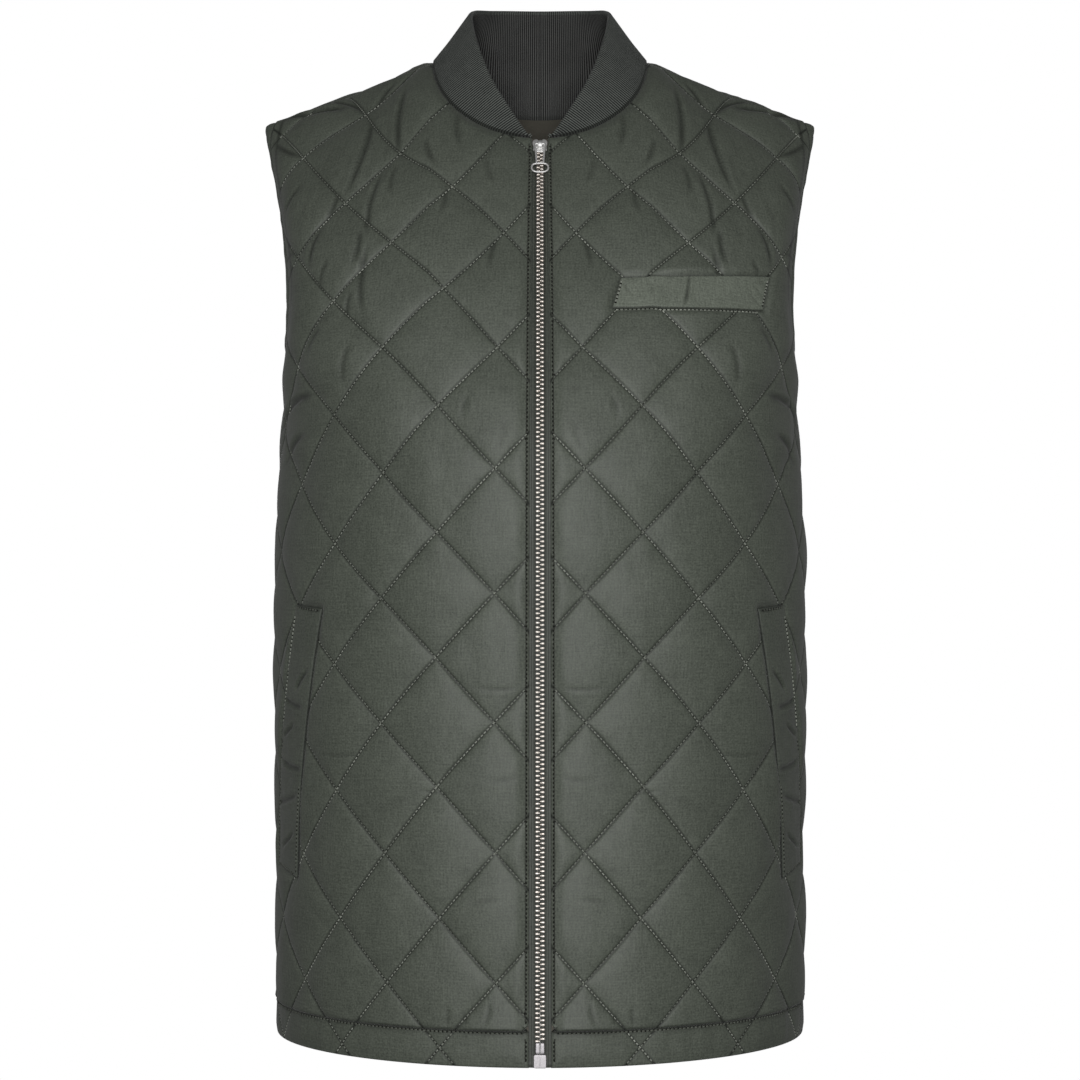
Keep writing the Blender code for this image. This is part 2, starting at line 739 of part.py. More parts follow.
def slider_plate(solid, out):
    """One plate of the slider: a shield with a narrow foot."""
    half = SLIDER_WIDTH / 2
    reach = SLIDER_LENGTH / 2
    outline = [(-half * p, reach * v) for p, v in SLIDER_OUTLINE]
    outline += [(half * p, reach * v) for p, v in reversed(SLIDER_OUTLINE)]
    face = solid.faces.new([solid.verts.new((x, -out, z)) for x, z in outline])
    grown = bmesh.ops.extrude_face_region(solid, geom=[face])
    top = [item for item in grown["geom"] if isinstance(item, bmesh.types.BMVert)]
    bmesh.ops.translate(solid, verts=top, vec=(0, -SLIDER_PLATE, 0))
    bmesh.ops.recalc_face_normals(solid, faces=solid.faces)


def axle_out():
    return SLIDER_PLATE_FRONT + SLIDER_PLATE + AXLE_HOLE + 2 * SEAM_GAP


def make_slider(frame, material):
    front = bmesh.new()
    slider_plate(front, SLIDER_PLATE_FRONT)
    back = bmesh.new()
    slider_plate(back, SLIDER_PLATE_BACK - SLIDER_PLATE)
    post = bmesh.new()
    depth = SLIDER_PLATE_FRONT - SLIDER_PLATE_BACK + SLIDER_PLATE
    post_centre = -(SLIDER_PLATE_FRONT + SLIDER_PLATE_BACK) / 2
    box_mesh(post, (POST_WIDTH, depth, POST_LENGTH), (0, post_centre, SLIDER_LENGTH / 2 - POST_INSET))
    crown = bmesh.new()
    base = SLIDER_PLATE_FRONT + SLIDER_PLATE / 2
    height = SLIDER_PLATE / 2 + CROWN_HEIGHT
    box_mesh(crown, (CROWN_WIDTH, height, CROWN_LENGTH), (0, -base - height / 2, 0))
    hole = bmesh.new()
    turn = Matrix.Rotation(math.pi / 2, 4, "Y")
    bmesh.ops.create_cone(
        hole, cap_ends=True, segments=HOLE_SIDES, radius1=AXLE_HOLE, radius2=AXLE_HOLE,
        depth=2 * CROWN_WIDTH, matrix=Matrix.Translation((0, -axle_out(), 0)) @ turn,
    )
    slider = part_from_bmesh("zip_slider", front, material, smooth=False)
    slider.matrix_world = frame
    for name, solid, operation in (
        ("slider_back", back, "UNION"), ("slider_post", post, "UNION"),
        ("slider_crown", crown, "UNION"), ("slider_hole", hole, "DIFFERENCE"),
    ):
        helper = helper_object(name, solid)
        helper.matrix_world = frame
        add_boolean(slider, helper, operation)


def wire_mesh(points, closed):
    """A bent wire as a welded mesh."""
    curve = bpy.data.curves.new("wire", "CURVE")
    curve.dimensions = "3D"
    curve.bevel_depth = WIRE
    curve.bevel_resolution = 2
    curve.use_fill_caps = True
    spline = curve.splines.new("POLY")
    spline.points.add(len(points) - 1)
    for spot, point in zip(spline.points, points):
        spot.co = (*point, 1)
    spline.use_cyclic_u = closed
    item = bpy.data.objects.new("wire", curve)
    bpy.context.scene.collection.objects.link(item)
    evaluated = item.evaluated_get(bpy.context.evaluated_depsgraph_get())
    mesh = bpy.data.meshes.new_from_object(evaluated)
    bpy.data.objects.remove(item, do_unlink=True)
    solid = bmesh.new()
    solid.from_mesh(mesh)
    bmesh.ops.remove_doubles(solid, verts=solid.verts, dist=WELD)
    bmesh.ops.recalc_face_normals(solid, faces=solid.faces)
    return solid


def make_pull(slider_frame, slider_up, material):
    """The wire pull: an axle through the crown, two arms and an oval ring."""
    axis = slider_frame @ Matrix.Translation((0, -axle_out(), 0))
    ring_up = slider_up - PULL_ARM - RING_LENGTH
    rest = zip_frame(ring_up) @ Vector((0, -CHAIN_FRONT - RING_CLEARANCE, 0))
    drop = rest - axis.translation
    lean = math.atan2(drop.y, -drop.z)
    matrix = Matrix.Translation(axis.translation) @ Matrix.Rotation(lean, 4, "X")
    half = PULL_WIDTH / 2
    neck = PULL_NARROWING * half
    stirrup = wire_mesh([(-half, 0, 0), (half, 0, 0), (neck, 0, -PULL_ARM), (-neck, 0, -PULL_ARM)], True)
    oval = []
    for i in range(RING_SIDES):
        turn = 2 * math.pi * i / RING_SIDES
        bend = 2 / RING_ROUNDNESS
        x = RING_WIDTH / 2 * math.copysign(abs(math.cos(turn)) ** bend, math.cos(turn))
        z = RING_LENGTH / 2 * math.copysign(abs(math.sin(turn)) ** bend, math.sin(turn))
        oval.append((x, 0, z - PULL_ARM - RING_LENGTH / 2))
    ring = wire_mesh(oval, True)
    pull = part_from_bmesh("zip_pull", stirrup, material)
    pull.matrix_world = matrix
    helper = helper_object("pull_ring", ring)
    helper.matrix_world = matrix
    add_boolean(pull, helper, "UNION")


def make_box_and_pins(material):
    frame = zip_frame(BOX_LENGTH / 2)
    box = bmesh.new()
    middle = (CHAIN_FRONT - CHAIN_BACK) / 2
    box_mesh(box, (2 * TAPE_INNER_EDGE - 2 * SEAM_GAP, BOX_THICKNESS, BOX_LENGTH), (0, -middle, 0))
    lip = bmesh.new()
    box_mesh(lip, (BOX_WIDTH, CHAIN_FRONT / 2, BOX_LENGTH), (0, -CHAIN_FRONT, 0))
    item = part_from_bmesh("zip_box", box, material, smooth=False)
    item.matrix_world = frame
    helper = helper_object("box_lip", lip)
    helper.matrix_world = frame
    add_boolean(item, helper, "UNION")
    for name, hand in (("right", RIGHT), ("left", LEFT)):
        pin = bmesh.new()
        across = hand * (SEAM_GAP + PIN_WIDTH) / 2
        box_mesh(pin, (PIN_WIDTH, PIN_THICKNESS, PIN_LENGTH), (across, -middle, 0))
        made = part_from_bmesh(f"zip_pin_{name}", pin, material, smooth=False)
        made.matrix_world = zip_frame(BOX_LENGTH + SEAM_GAP + PIN_LENGTH / 2)


def main():
    clear_scene()
    for name in ("gilet", "cutters"):
        bpy.context.scene.collection.children.link(bpy.data.collections.new(name))
    materials = {name: make_material(name) for name in MATERIALS}
    cloth = materials["shell_cloth"]
    side_patch = welt_corners(SIDE_WELT)
    make_front("front_right", RIGHT, (side_patch,), cloth)
    make_front("front_left", LEFT, (side_patch, welt_corners(CHEST_WELT)), cloth)
    make_back(cloth)
    make_welts(cloth)
    make_bindings(cloth)
    make_collar(materials["rib_knit"])
    neck = front_neck()[-1, 1]
    pin_top = BOX_LENGTH + SEAM_GAP + PIN_LENGTH
    make_zip_strips(materials["zip_tape"], materials["brass_teeth"], neck, pin_top)
    slider_up = neck - SLIDER_BELOW_NECK
    frame = zip_frame(slider_up)
    make_slider(frame, materials["nickel"])
    make_pull(frame, slider_up, materials["nickel"])
    make_box_and_pins(materials["nickel"])


main()
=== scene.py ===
"""The look of the quilted gilet: padded cloth, rib-knit collar, stitching and metal zip.

The pieces are made from the same cloth distances as the solids: "across" from the centre
line, "up" from the hem and "out" from a panel's inner face.
"""
import math

import bmesh
import bpy
import numpy as np
from mathutils import Matrix, Vector


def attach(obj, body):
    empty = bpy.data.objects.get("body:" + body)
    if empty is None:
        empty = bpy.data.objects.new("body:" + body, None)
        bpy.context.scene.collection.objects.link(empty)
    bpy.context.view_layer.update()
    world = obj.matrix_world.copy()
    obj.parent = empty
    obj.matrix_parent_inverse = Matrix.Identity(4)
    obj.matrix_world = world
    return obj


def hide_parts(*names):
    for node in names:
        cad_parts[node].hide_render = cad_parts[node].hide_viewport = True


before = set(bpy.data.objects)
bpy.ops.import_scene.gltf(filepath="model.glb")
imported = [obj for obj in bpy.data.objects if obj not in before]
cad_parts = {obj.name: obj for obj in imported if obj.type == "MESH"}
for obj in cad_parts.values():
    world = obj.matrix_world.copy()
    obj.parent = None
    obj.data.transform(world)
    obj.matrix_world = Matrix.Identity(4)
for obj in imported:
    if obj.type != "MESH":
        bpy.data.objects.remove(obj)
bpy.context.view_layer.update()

MM = 0.001
RIGHT = -1
LEFT = 1
HANDS = (("right", RIGHT), ("left", LEFT))

# The figure that the garment fills: one row for each level section below the bust line
BODY_COLUMNS = ("height", "half_width", "front_depth", "back_depth", "roundness")
BODY = np.array((
    (-0.694, 0.1865, 0.148, 0.108, 1.95),
    (-0.580, 0.1845, 0.146, 0.104, 2.10),
    (-0.450, 0.1860, 0.145, 0.102, 2.20),
    (-0.356, 0.1850, 0.147, 0.106, 2.20),
    (-0.290, 0.1825, 0.148, 0.111, 2.20),
))
# Above the bust line a section rises by this share of the way to the shoulder ridge
YOKE_COLUMNS = ("rise", "half_width", "roundness")
YOKE = np.array((
    (0.00, 0.1825, 2.2),
    (0.20, 0.1784, 2.7),
    (0.35, 0.1795, 3.2),
    (0.65, 0.1815, 4.2),
    (1.00, 0.1968, 3.0),
))
CHEST_SLOPE_POWER = 1.38
BACK_SLOPE_POWER = 2.45
HIGH_POINT_X = 0.0765
SHOULDER_DROP = 0.0445
SHOULDER_SAG = 0.0030

# The cut of the panels
PANEL_WIDTH = 0.258
SEAM_GAP = 0.0003
ARMHOLE_BOTTOM_HEIGHT = -0.214
ARMHOLE_SCOOP = 0.060
ARMHOLE_TIP_INSET = 0.0095
ARMHOLE_STATIONS = 90
FRONT_NECK_DROP = 0.062
BACK_NECK_DROP = 0.029
NECK_STATIONS = 40
FRONT_EDGE_TOP = 0.0062
FRONT_EDGE_HEM = 0.0074

# The quilting
QUILT_ACROSS = 0.0377
QUILT_UP = 0.0431
QUILT_FIRST_COLUMN = 0.0288
QUILT_ROW_HEIGHT = 0.5734
QUILT_DROOP = 0.016
# Where the lines of the fronts stray from an even grid, in millimetres: place (across, up) and shift
QUILT_SHIFTS = MM * np.array((
    (205.6, 675.2, -26, -25.7),
    (112.4, 641.5, -8.2, 15.1),
    (152.9, 695.1, -11, 2),
    (148.2, 611.9, -6.3, -0.6),
    (106.6, 566.8, -2.4, 3.9),
    (64.1, 604.6, 2.4, 10.9),
    (25.6, 567.1, 3.2, 6.1),
    (181.9, 575.6, -2.3, -10.1),
    (145, 529.3, -3.1, -4),
    (65.3, 524.5, 1.2, 4.8),
    (106.3, 487.2, -2.1, -2.8),
    (28.3, 481.4, 0.5, 5.6),
    (143.4, 349.1, -1.5, 3.9),
    (105.6, 313.2, -1.4, -1.1),
    (29.4, 316.5, -0.6, -1.9),
    (106.5, 228.6, -2.3, -2.7),
    (67.6, 187, -1.1, -2.6),
))
SHIFT_REACH = 0.075
SHIFT_EASE = 0.12
SHIFT_ROUNDS = 12
STITCHED_THICKNESS = 0.0020
PUFF = 0.0038
PUFF_POWER = 0.44
PUFF_VARIATION = 0.16
DEEPEST_PUFF = -0.0006
HEM_DEPTH = 0.024
HEM_PUFF = 0.40
HEM_ROUND = 0.0022
HEM_GROOVE = 0.0013
HEM_GATHER = 0.0005
HEM_GATHER_SIZE = (0.008, 0.05)
EDGE_FLAT = 0.009
EDGE_POWER = 0.7
ARMHOLE_FLAT = 0.026
EDGE_ROUND = 0.0016
EDGE_LEFT = 0.30
FLAT_FADE = 0.0045
PUCKER = 0.00032
PUCKER_PITCH = 0.0052
PUCKER_REACH = 0.0065
PUCKER_START = 0.0015
WAVE = 0.0007
WAVE_SIZE = (0.034, 0.034)
FINE_WAVE = 0.5
FINE_WAVE_SIZE = (0.034 / 2.3, 0.034 / 1.6)
# Fine upright wrinkles in patches, mostly across the chest
WRINKLE = 0.00042
WRINKLE_SIZE = (0.0075, 0.042)
WRINKLE_SHARPNESS = 2.2
WRINKLE_BEND = 1.6
WRINKLE_BEND_SIZE = (0.05, 0.05)
WRINKLE_PATCH = 1.4
WRINKLE_PATCH_SIZE = (0.045, 0.06)
WRINKLE_BELOW = 0.30
WRINKLE_CHEST = 0.50
WRINKLE_FADE = 0.12
# Multipliers that set the random values of neighbouring diamonds, lines and grid points apart
CELL_MIX = (1.37, 1.71)
LINE_MIX = 7.3
NOISE_MIX = (127.1, 311.7, 74.7)
NOISE_SPREAD = 43758.5453
SEEDS = {"right": 3.1, "left": 9.4, "back": 5.7, "side_welt": 2.3, "chest_welt": 6.1, "binding": 4.4}

# Meshing of the panels
FRONT_STEPS = 34
BACK_STEPS = 20
LINING_STEPS = 6
CROWDING = 0.36
INSET = 0.0040
BAND = (0.82, 0.68, 0.55, 0.42, 0.28, 0.16, 0.07, 0.0)
WELD = 1e-5
SAME_POINT = 1e-7
SHARP_TURN = math.radians(40)

# Soft troughs in the cloth. They run on past their ends, with a low ridge along each side
CREASE_DEPTH = 1.3
CREASE_WIDTH = 0.52
CREASE_END = 0.2
CREASE_FADES = (0.45, 0.55)
CREASE_REACH = 5
CREASE_RIDGE = 0.22
# Each ridge's place and width, in widths of the crease, and its share
RIDGES = ((2.2, 1.3, 1.0), (-2.2, 1.4, 0.5))
# Depth at which a crease's painted shade is full
CREASE_SHADE_FULL = 0.0016
# In millimetres: both ends (across, up), depth, width and bow
FRONT_CREASES = MM * np.array((
    (132.1, 719.3, 144.5, 697.6, 1.6, 4, 2),
    (117.7, 702.8, 112.1, 645.2, 1.8, 4.2, 3),
    (89.7, 645.3, 81.4, 624.6, 1.3, 3.2, 1),
    (144.4, 681.9, 148.7, 625.8, 2.4, 4, -3),
    (124.4, 623.5, 126.2, 582, 2, 3.4, 2),
    (112, 631, 112.7, 607.3, 1.2, 3, 1),
    (165, 591, 167.8, 564.8, 1.7, 3.4, 2),
    (130.8, 581.6, 131, 557.3, 1.6, 3.2, -1),
    (67.1, 667, 61.8, 638.8, 1.2, 3.4, 2),
    (179.5, 713.3, 240, 729, 2, 5, 2),
    (30.6, 561.6, 34.9, 542.3, 1.2, 2.8, 1),
    (168.9, 457.5, 228.9, 434.6, 2.6, 5, 4),
    (176.1, 426.9, 205.1, 407, 1.8, 4.4, 2),
    (47, 449.2, 50, 432.2, 0.5, 3, 1),
    (22.7, 432.1, 27.2, 411.9, 0.5, 3, -1),
    (129.7, 491, 134.1, 465.2, 1, 3.6, 2),
    (187, 580, 215, 566, 1.4, 4, 2),
    (123.8, 563, 121.3, 517.1, 1.6, 3.4, 2),
    (131.3, 531.8, 133.1, 513.8, 1.2, 3, 1),
    (195.5, 729.2, 153.3, 697.4, 1.6, 3.6, -3),
    (240.7, 701.8, 205.4, 673.9, 1.5, 4, 2),
    (152.4, 563.6, 156.7, 545.5, 1.1, 3, 1),
    (154.6, 508.1, 165.4, 492, 1, 3.2, 1),
    (42.4, 628.9, 34.3, 606.3, 0.8, 3, 1),
    (156.5, 621.7, 162, 596.9, 1.4, 3.2, -1),
    (193.5, 638.9, 203.6, 618.7, 1.2, 3.6, 1),
    (69.4, 606.4, 71.6, 583.1, 1, 3, -1),
    (40.9, 253.3, 14.9, 253.4, 0.6, 2.2, 1),
    (33.9, 191.3, 13, 194.1, 0.6, 2.2, 1),
    (153.3, 205.6, 122.3, 207.8, 0.6, 2.2, 1),
    (79.6, 184.5, 55.8, 183, 0.5, 2.2, 1),
    (46.1, 108.5, 22.9, 112.3, 0.6, 2.2, -1),
    (36, 29, 33, 42, 0.9, 2.2, 1),
    (48, 29, 50, 38, 0.8, 2.2, 0),
    (62, 28, 60, 40, 0.9, 2.4, 1),
))
BACK_CREASES = MM * np.array((
    (145, 721, 133, 676, 1.7, 4.2, 3),
    (118, 708, 124, 652, 1.5, 4, -2),
    (82, 698, 76, 666, 1.2, 3.6, 1),
    (164, 646, 160, 598, 1.8, 4, 3),
    (133, 619, 136, 586, 1.3, 3.4, 1),
    (182, 466, 230, 444, 2.2, 5, 3),
    (190, 431, 220, 406, 1.6, 4.4, 2),
    (55, 356, 105, 344, 1.2, 4.6, 3),
    (-150, 716, -138, 681, 1.5, 4, -2),
    (-109, 705, -115, 646, 1.7, 4.2, 2),
    (-70, 691, -74, 656, 1.1, 3.4, 1),
    (-160, 634, -164, 591, 1.6, 4, -3),
    (-178, 460, -235, 441, 2.4, 5.2, -4),
    (-200, 424, -220, 404, 1.4, 4.2, 2),
    (-40, 368, -95, 352, 1.2, 4.8, -3),
))

# Pocket welts, by their corners in the front view (x towards the panel's side seam, z)
WELT_THICKNESS = 0.0015
CHEST_WELT = ((0.0485, -0.1860), (0.1510, -0.1850), (0.1566, -0.1610), (0.0545, -0.1650))
SIDE_WELT = ((0.1660, -0.5770), (0.1810, -0.5700), (0.1660, -0.3870), (0.1470, -0.3890))
WELT_ROUND = 0.0010
SIDE_WELT_BOW = 0.0040
WELT_KNOTS = 7
WELT_LINE_STATIONS = 40
WELT_STEP = 0.0011
WELT_SHADE = 0.0005
WELT_FADE = 0.004
WELT_THINNEST = 0.0002
WELT_WAVE = 0.00028
WELT_WAVE_SIZE = (0.011, 0.014)
FINE_WELT_WAVE = 0.6
FINE_WELT_WAVE_SIZE = (0.005, 0.006)
# Distances from a strip's edge, where its rows are close together
EDGE_STEPS = (0.0, 0.0003, 0.0007, 0.0012, 0.0019, 0.0028)
# The welts' own creases, in millimetres
CHEST_WRINKLES = MM * np.array((
    (103.5, 542.5, 98.5, 517.5, 1.9, 1.5, 0.5),
    (150, 544, 159, 533, 0.6, 1.3, 0.4),
    (146, 536, 156, 526, 0.6, 1.4, 0.3),
    (157, 548, 164, 540, 0.6, 1.3, 0.3),
    (56, 529, 62, 519, 0.5, 1.4, 0.3),
    (74, 533, 76, 521, 0.4, 1.6, 0.3),
))
SIDE_WRINKLES = MM * np.array((
    (199, 240.8, 178, 236.4, 2.4, 3, 0.8),
    (206, 197.1, 180, 193.4, 2.6, 3, 1),
    (219, 121.3, 189, 115, 2.6, 3.2, 1.2),
    (170.6, 261.1, 183.8, 248.1, 1.6, 2.4, 0.6),
    (204.2, 215.5, 188, 224, 1.6, 2.4, 0.6),
    (219.7, 167.2, 187, 174.5, 1.9, 2.8, 0.8),
    (212.9, 137.6, 193.1, 147.4, 1.6, 2.4, 0.6),
    (179.7, 306.4, 154.2, 303.5, 1.4, 2.4, 0.6),
))

# The rib-knit collar: its top edge, from the zip (0) to the centre back (1) and on
COLLAR_TOP = np.array((
    (0.00, 0.0070, -0.0650, -0.0612),
    (0.15, 0.0235, -0.0620, -0.0360),
    (0.30, 0.0340, -0.0540, -0.0170),
    (0.45, 0.0425, -0.0400, 0.0060),
    (0.60, 0.0470, -0.0180, 0.0270),
    (0.72, 0.0465, 0.0080, 0.0390),
    (0.85, 0.0330, 0.0380, 0.0460),
    (1.00, 0.0000, 0.0540, 0.0490),
    (1.15, -0.0330, 0.0380, 0.0460),
))
COLLAR_THICKNESS = 0.0030
COLLAR_GAP = 0.0005
COLLAR_ROWS = 13
RIB_PITCH = 0.00155
RIB_DEPTH = 0.00050
RIB_STEPS = 6
BACK_EASE = 0.14
TIP_HEIGHT = 0.014
TIP_LEFT = 0.25
FOOT_REACH = 0.28
FOOT_SMOOTHING = 61
FOOT_SAMPLES = 1200
COLLAR_EDGE_SAMPLES = 2000
COLLAR_BULGE = 0.0005
COLLAR_BULGE_HEIGHT = 0.05
COLLAR_CREST = 0.965
COLLAR_ROW_POWER = 0.9
COLLAR_FOLD_TURNS = (30, 60, 90, 120, 150)
COLLAR_TUCK = ((-0.035, 0.35, 0.0),)
RIB_POWER = 0.8
TINY = 1e-9

# The armhole binding's section: reach beyond the panel and height out
BINDING_WIDTH = 0.0080
BINDING_THICKNESS = 0.0024
BINDING_PROFILE = (
    (-0.12, 0.05), (0.02, 0.28), (0.08, 0.55), (0.15, 0.72), (0.30, 0.82), (0.50, 0.86),
    (0.68, 0.84), (0.82, 0.78), (0.93, 0.64), (0.99, 0.40), (0.93, 0.16), (0.75, 0.0),
)
BINDING_TIP = 0.62
BINDING_TIP_LENGTH = 0.03
BINDING_RIPPLE = 0.22
BINDING_RIPPLE_SIZE = 0.009
BINDING_RIPPLE_FADE = 0.02
# Where the binding's section reaches less than this share of its width beyond the panel, it is painted
# dark: painted shade in its seam
BINDING_SEAM = 0.10

# The zip
CHAIN_FRONT = 0.0016
CHAIN_BACK = 0.0010
TAPE_INNER_EDGE = 0.0035
TAPE_OUTER_EDGE = 0.0160
TAPE_THICKNESS = 0.0010
TAPE_GAP = 0.0008
TAPE_MEETING = 0.0001
TAPE_DIP = 0.0003
DIP_WIDTH = 0.0006
TAPE_STEP = 0.0004
TAPE_STATIONS = 160
# The tape's raised cord: place beyond its inner edge, width and height
TAPE_CORD = (0.0014, 0.0007, 0.0003)
# Dark lines of the tape: place across and width. The last is a painted shadow beside the front's folded
# edge
TAPE_LINES = ((0.0040, 0.0004), (0.0054, 0.00035), (0.0078, 0.0014))
TOOTH_PITCH = 0.0031
# Each tooth is two rounded blocks: centre and half size across, half size along
TOOTH_BLOCKS = ((0.00215, 0.00135, 0.00080), (0.00075, 0.00090, 0.00048))
TOOTH_TOP_WIDTH = 0.72
TOOTH_ROUNDNESS = 4.5
TOOTH_SLACK = 0.0001
# Which share of the pitch each row of teeth starts at
TOOTH_STARTS = ((RIGHT, 0.25), (LEFT, 0.75))
# Rows and sides of a rounded block
TOOTH_MESH = (6, 10)
BLOCK_MESH = (14, 20)
SLIDER_BELOW_NECK = 0.0085
SLIDER_LENGTH = 0.0115
SLIDER_WIDTH = 0.0105
SLIDER_PLATE = 0.0014
SLIDER_PLATE_FRONT = 0.0020
SLIDER_PLATE_BACK = -0.0026
SLIDER_BEVEL = 0.0005
SLIDER_OUTLINE = (
    (0.22, 0.80), (0.42, 1.0), (0.62, 0.99), (0.86, 0.84), (1.0, 0.60), (0.99, 0.36),
    (0.92, 0.05), (0.84, -0.30), (0.76, -0.70), (0.70, -0.94), (0.58, -1.0),
)
# Blocks of the slider, by size: the wedge between its plates, and a lip along each side
WEDGE_WIDTH = 0.0022
WEDGE_LENGTH = 0.0030
WEDGE_INSET = 0.0020
WEDGE_SINK = 0.0003
PLATE_OVERLAP = 0.0010
LIP = (0.0008, 0.0016, 0.0062)
LIP_INSET = 0.0010
LIP_PLACE = (0.0004, -0.0002)
CROWN_WIDTH = 0.0030
CROWN_LENGTH = 0.0066
CROWN_HEIGHT = 0.0034
CROWN_STRAP = 0.0008
CROWN_POWER = 0.8
CROWN_STATIONS = 25
STRAP_SECTION = (
    (1.0, 0.0), (0.96, 0.7), (0.80, 1.0), (0.0, 1.15), (-0.80, 1.0), (-0.96, 0.7),
    (-1.0, 0.0), (-0.96, -0.7), (-0.80, -1.0), (0.80, -1.0), (0.96, -0.7),
)
AXLE_HOLE = 0.0011
AXLE_OUT = SLIDER_PLATE_FRONT + SLIDER_PLATE + AXLE_HOLE + 2 * SEAM_GAP
WIRE = 0.0007
WIRE_SIDES = 10
PULL_WIDTH = 0.0068
PULL_ARM = 0.0165
PULL_NARROWING = 0.72
PULL_BEND = 0.0012
PULL_TOP = 0.97
PULL_FOOT = 0.94
RING_WIDTH = 0.0115
RING_LENGTH = 0.0074
RING_ROUNDNESS = 2.6
RING_STATIONS = 56
RING_CLEARANCE = 0.0022
BOX_WIDTH = 0.0084
BOX_LENGTH = 0.0090
BOX_DEPTH = 0.0030
BOX_COVER = 0.6
# The box's raised rib: width, depth, share of the box's length, share of the chain's front and height
BOX_RIB = (0.0007, 0.0005, 0.7, 1.32, 0.0002)
BLOCK_ROUNDNESS = 7.0
BOX_ROUNDNESS = 9.0
PIN_ROUNDNESS = 5.0
PIN_LENGTH = 0.0075
PIN_WIDTH = 0.0029
PIN_THICKNESS = 0.0022

# Sewing thread
STITCH_PITCH = 0.0029
STITCH_LENGTH = 0.0022
STITCH_RADIUS = 0.00063
EDGE_HOLE_RADIUS = 0.00125
STITCH_LIFT = 0.00012
HOLE_RADIUS = 0.00085
STITCH_SIDES = 6
FRONT_ROW = 0.0022
WELT_ROW = 0.0016
HEM_ROW = 0.0009
HEM_ROW_END = 0.002
HEM_ROW_STATIONS = 200
FRONT_ROW_END = 0.004
FRONT_ROW_STATIONS = 300
HEM_EDGE_END = 0.003
HEM_EDGE_STATIONS = 20
HOLE_LIFT = 0.00006
STITCH_MARGIN = 0.0012
# Sections of one stitch: share along it, width and height as shares of the thread's radius
THREAD_RINGS = ((0.0, 0.45, -1.0), (0.16, 0.92, -0.25), (0.84, 0.92, -0.25), (1.0, 0.45, -1.0))
THREAD_ANGLES = np.radians((-90, -38, 0, 38, 90))
# Which parts of a side welt's edges take a shaded copy of the thread or the lit copy, as painted shade and
# painted highlight: low (0), far (1), high (2) or near (3)
SHADED_ROW_PARTS = ((0, (0.10, 0.90)), (1, (0.01, 0.50)), (2, (0.05, 0.95)), (3, (0.01, 0.36)))
LIT_ROW_PARTS = ((1, (0.52, 0.97)),)
CHEST_ROW_PART = (0.05, 0.95)

# Lining, and the shade in seams
LINING_INSET = 0.0002
LINING_PUFF = 0.0012
STRIP_WIDTH = 0.004
STRIP_DEPTH = 0.0003
STRIP_END = 0.0005
STRIP_STATIONS = 60
SEAM_SHADE = 0.0010
ARMHOLE_ROW = 0.0085
ARMHOLE_SHADE = 0.0014
HEM_SHADE = 0.0026
HEM_SHADE_LEFT = 0.30

# The shape's sampling
ROWS_BELOW = 220
ROWS_ABOVE = 240
COLUMNS = 321
ARC_SAMPLES = 2400
REFERENCE_SHARE = 0.3
NORMAL_STEP = 0.003
SOLVE_ROUNDS = 40
SOLVE_EASE = 0.7


def smooth_table(value, knots, results):
    """A smooth curve through a table's rows, read at value."""
    steps = np.diff(results) / np.diff(knots)
    slopes = np.concatenate(([steps[0]], (steps[1:] + steps[:-1]) / 2, [steps[-1]]))
    row = np.clip(np.searchsorted(knots, value) - 1, 0, len(knots) - 2)
    width = knots[row + 1] - knots[row]
    part = (value - knots[row]) / width
    rest = 1 - part
    return (
        (1 + 2 * part) * rest**2 * results[row]
        + part * rest**2 * width * slopes[row]
        + part**2 * (3 - 2 * part) * results[row + 1]
        - part**2 * rest * width * slopes[row + 1]
    )


def distances_along(points):
    """Distance from the first point of a line to each of its points."""
    steps = np.linalg.norm(np.diff(points, axis=0), axis=1)
    return np.concatenate(([0], np.cumsum(steps)))


def read_curve(places, knots, points):
    """Points of a line, read at places between its knots."""
    return np.stack([np.interp(places, knots, column) for column in points.T], axis=1)


def read_grid(grid, row, column):
    """A grid of points, read between its rows and columns."""
    i = np.clip(row.astype(int), 0, grid.shape[0] - 2)
    j = np.clip(column.astype(int), 0, grid.shape[1] - 2)
    di = (row - i)[:, None]
    dj = (column - j)[:, None]
    low = grid[i, j] * (1 - dj) + grid[i, j + 1] * dj
    high = grid[i + 1, j] * (1 - dj) + grid[i + 1, j + 1] * dj
    return low * (1 - di) + high * di


def body_value(height, column):
    return smooth_table(height, BODY[:, 0], BODY[:, BODY_COLUMNS.index(column)])


def yoke_value(rise, column):
    return smooth_table(rise, YOKE[:, 0], YOKE[:, YOKE_COLUMNS.index(column)])


def ridge_height(x):
    """Height of the shoulder ridge: level across the neck, then sagging to the shoulder's tip."""
    tip = YOKE[-1, YOKE_COLUMNS.index("half_width")]
    share = np.clip((x - HIGH_POINT_X) / (tip - HIGH_POINT_X), 0, 1)
    return -SHOULDER_DROP * share - SHOULDER_SAG * np.sin(math.pi * share)


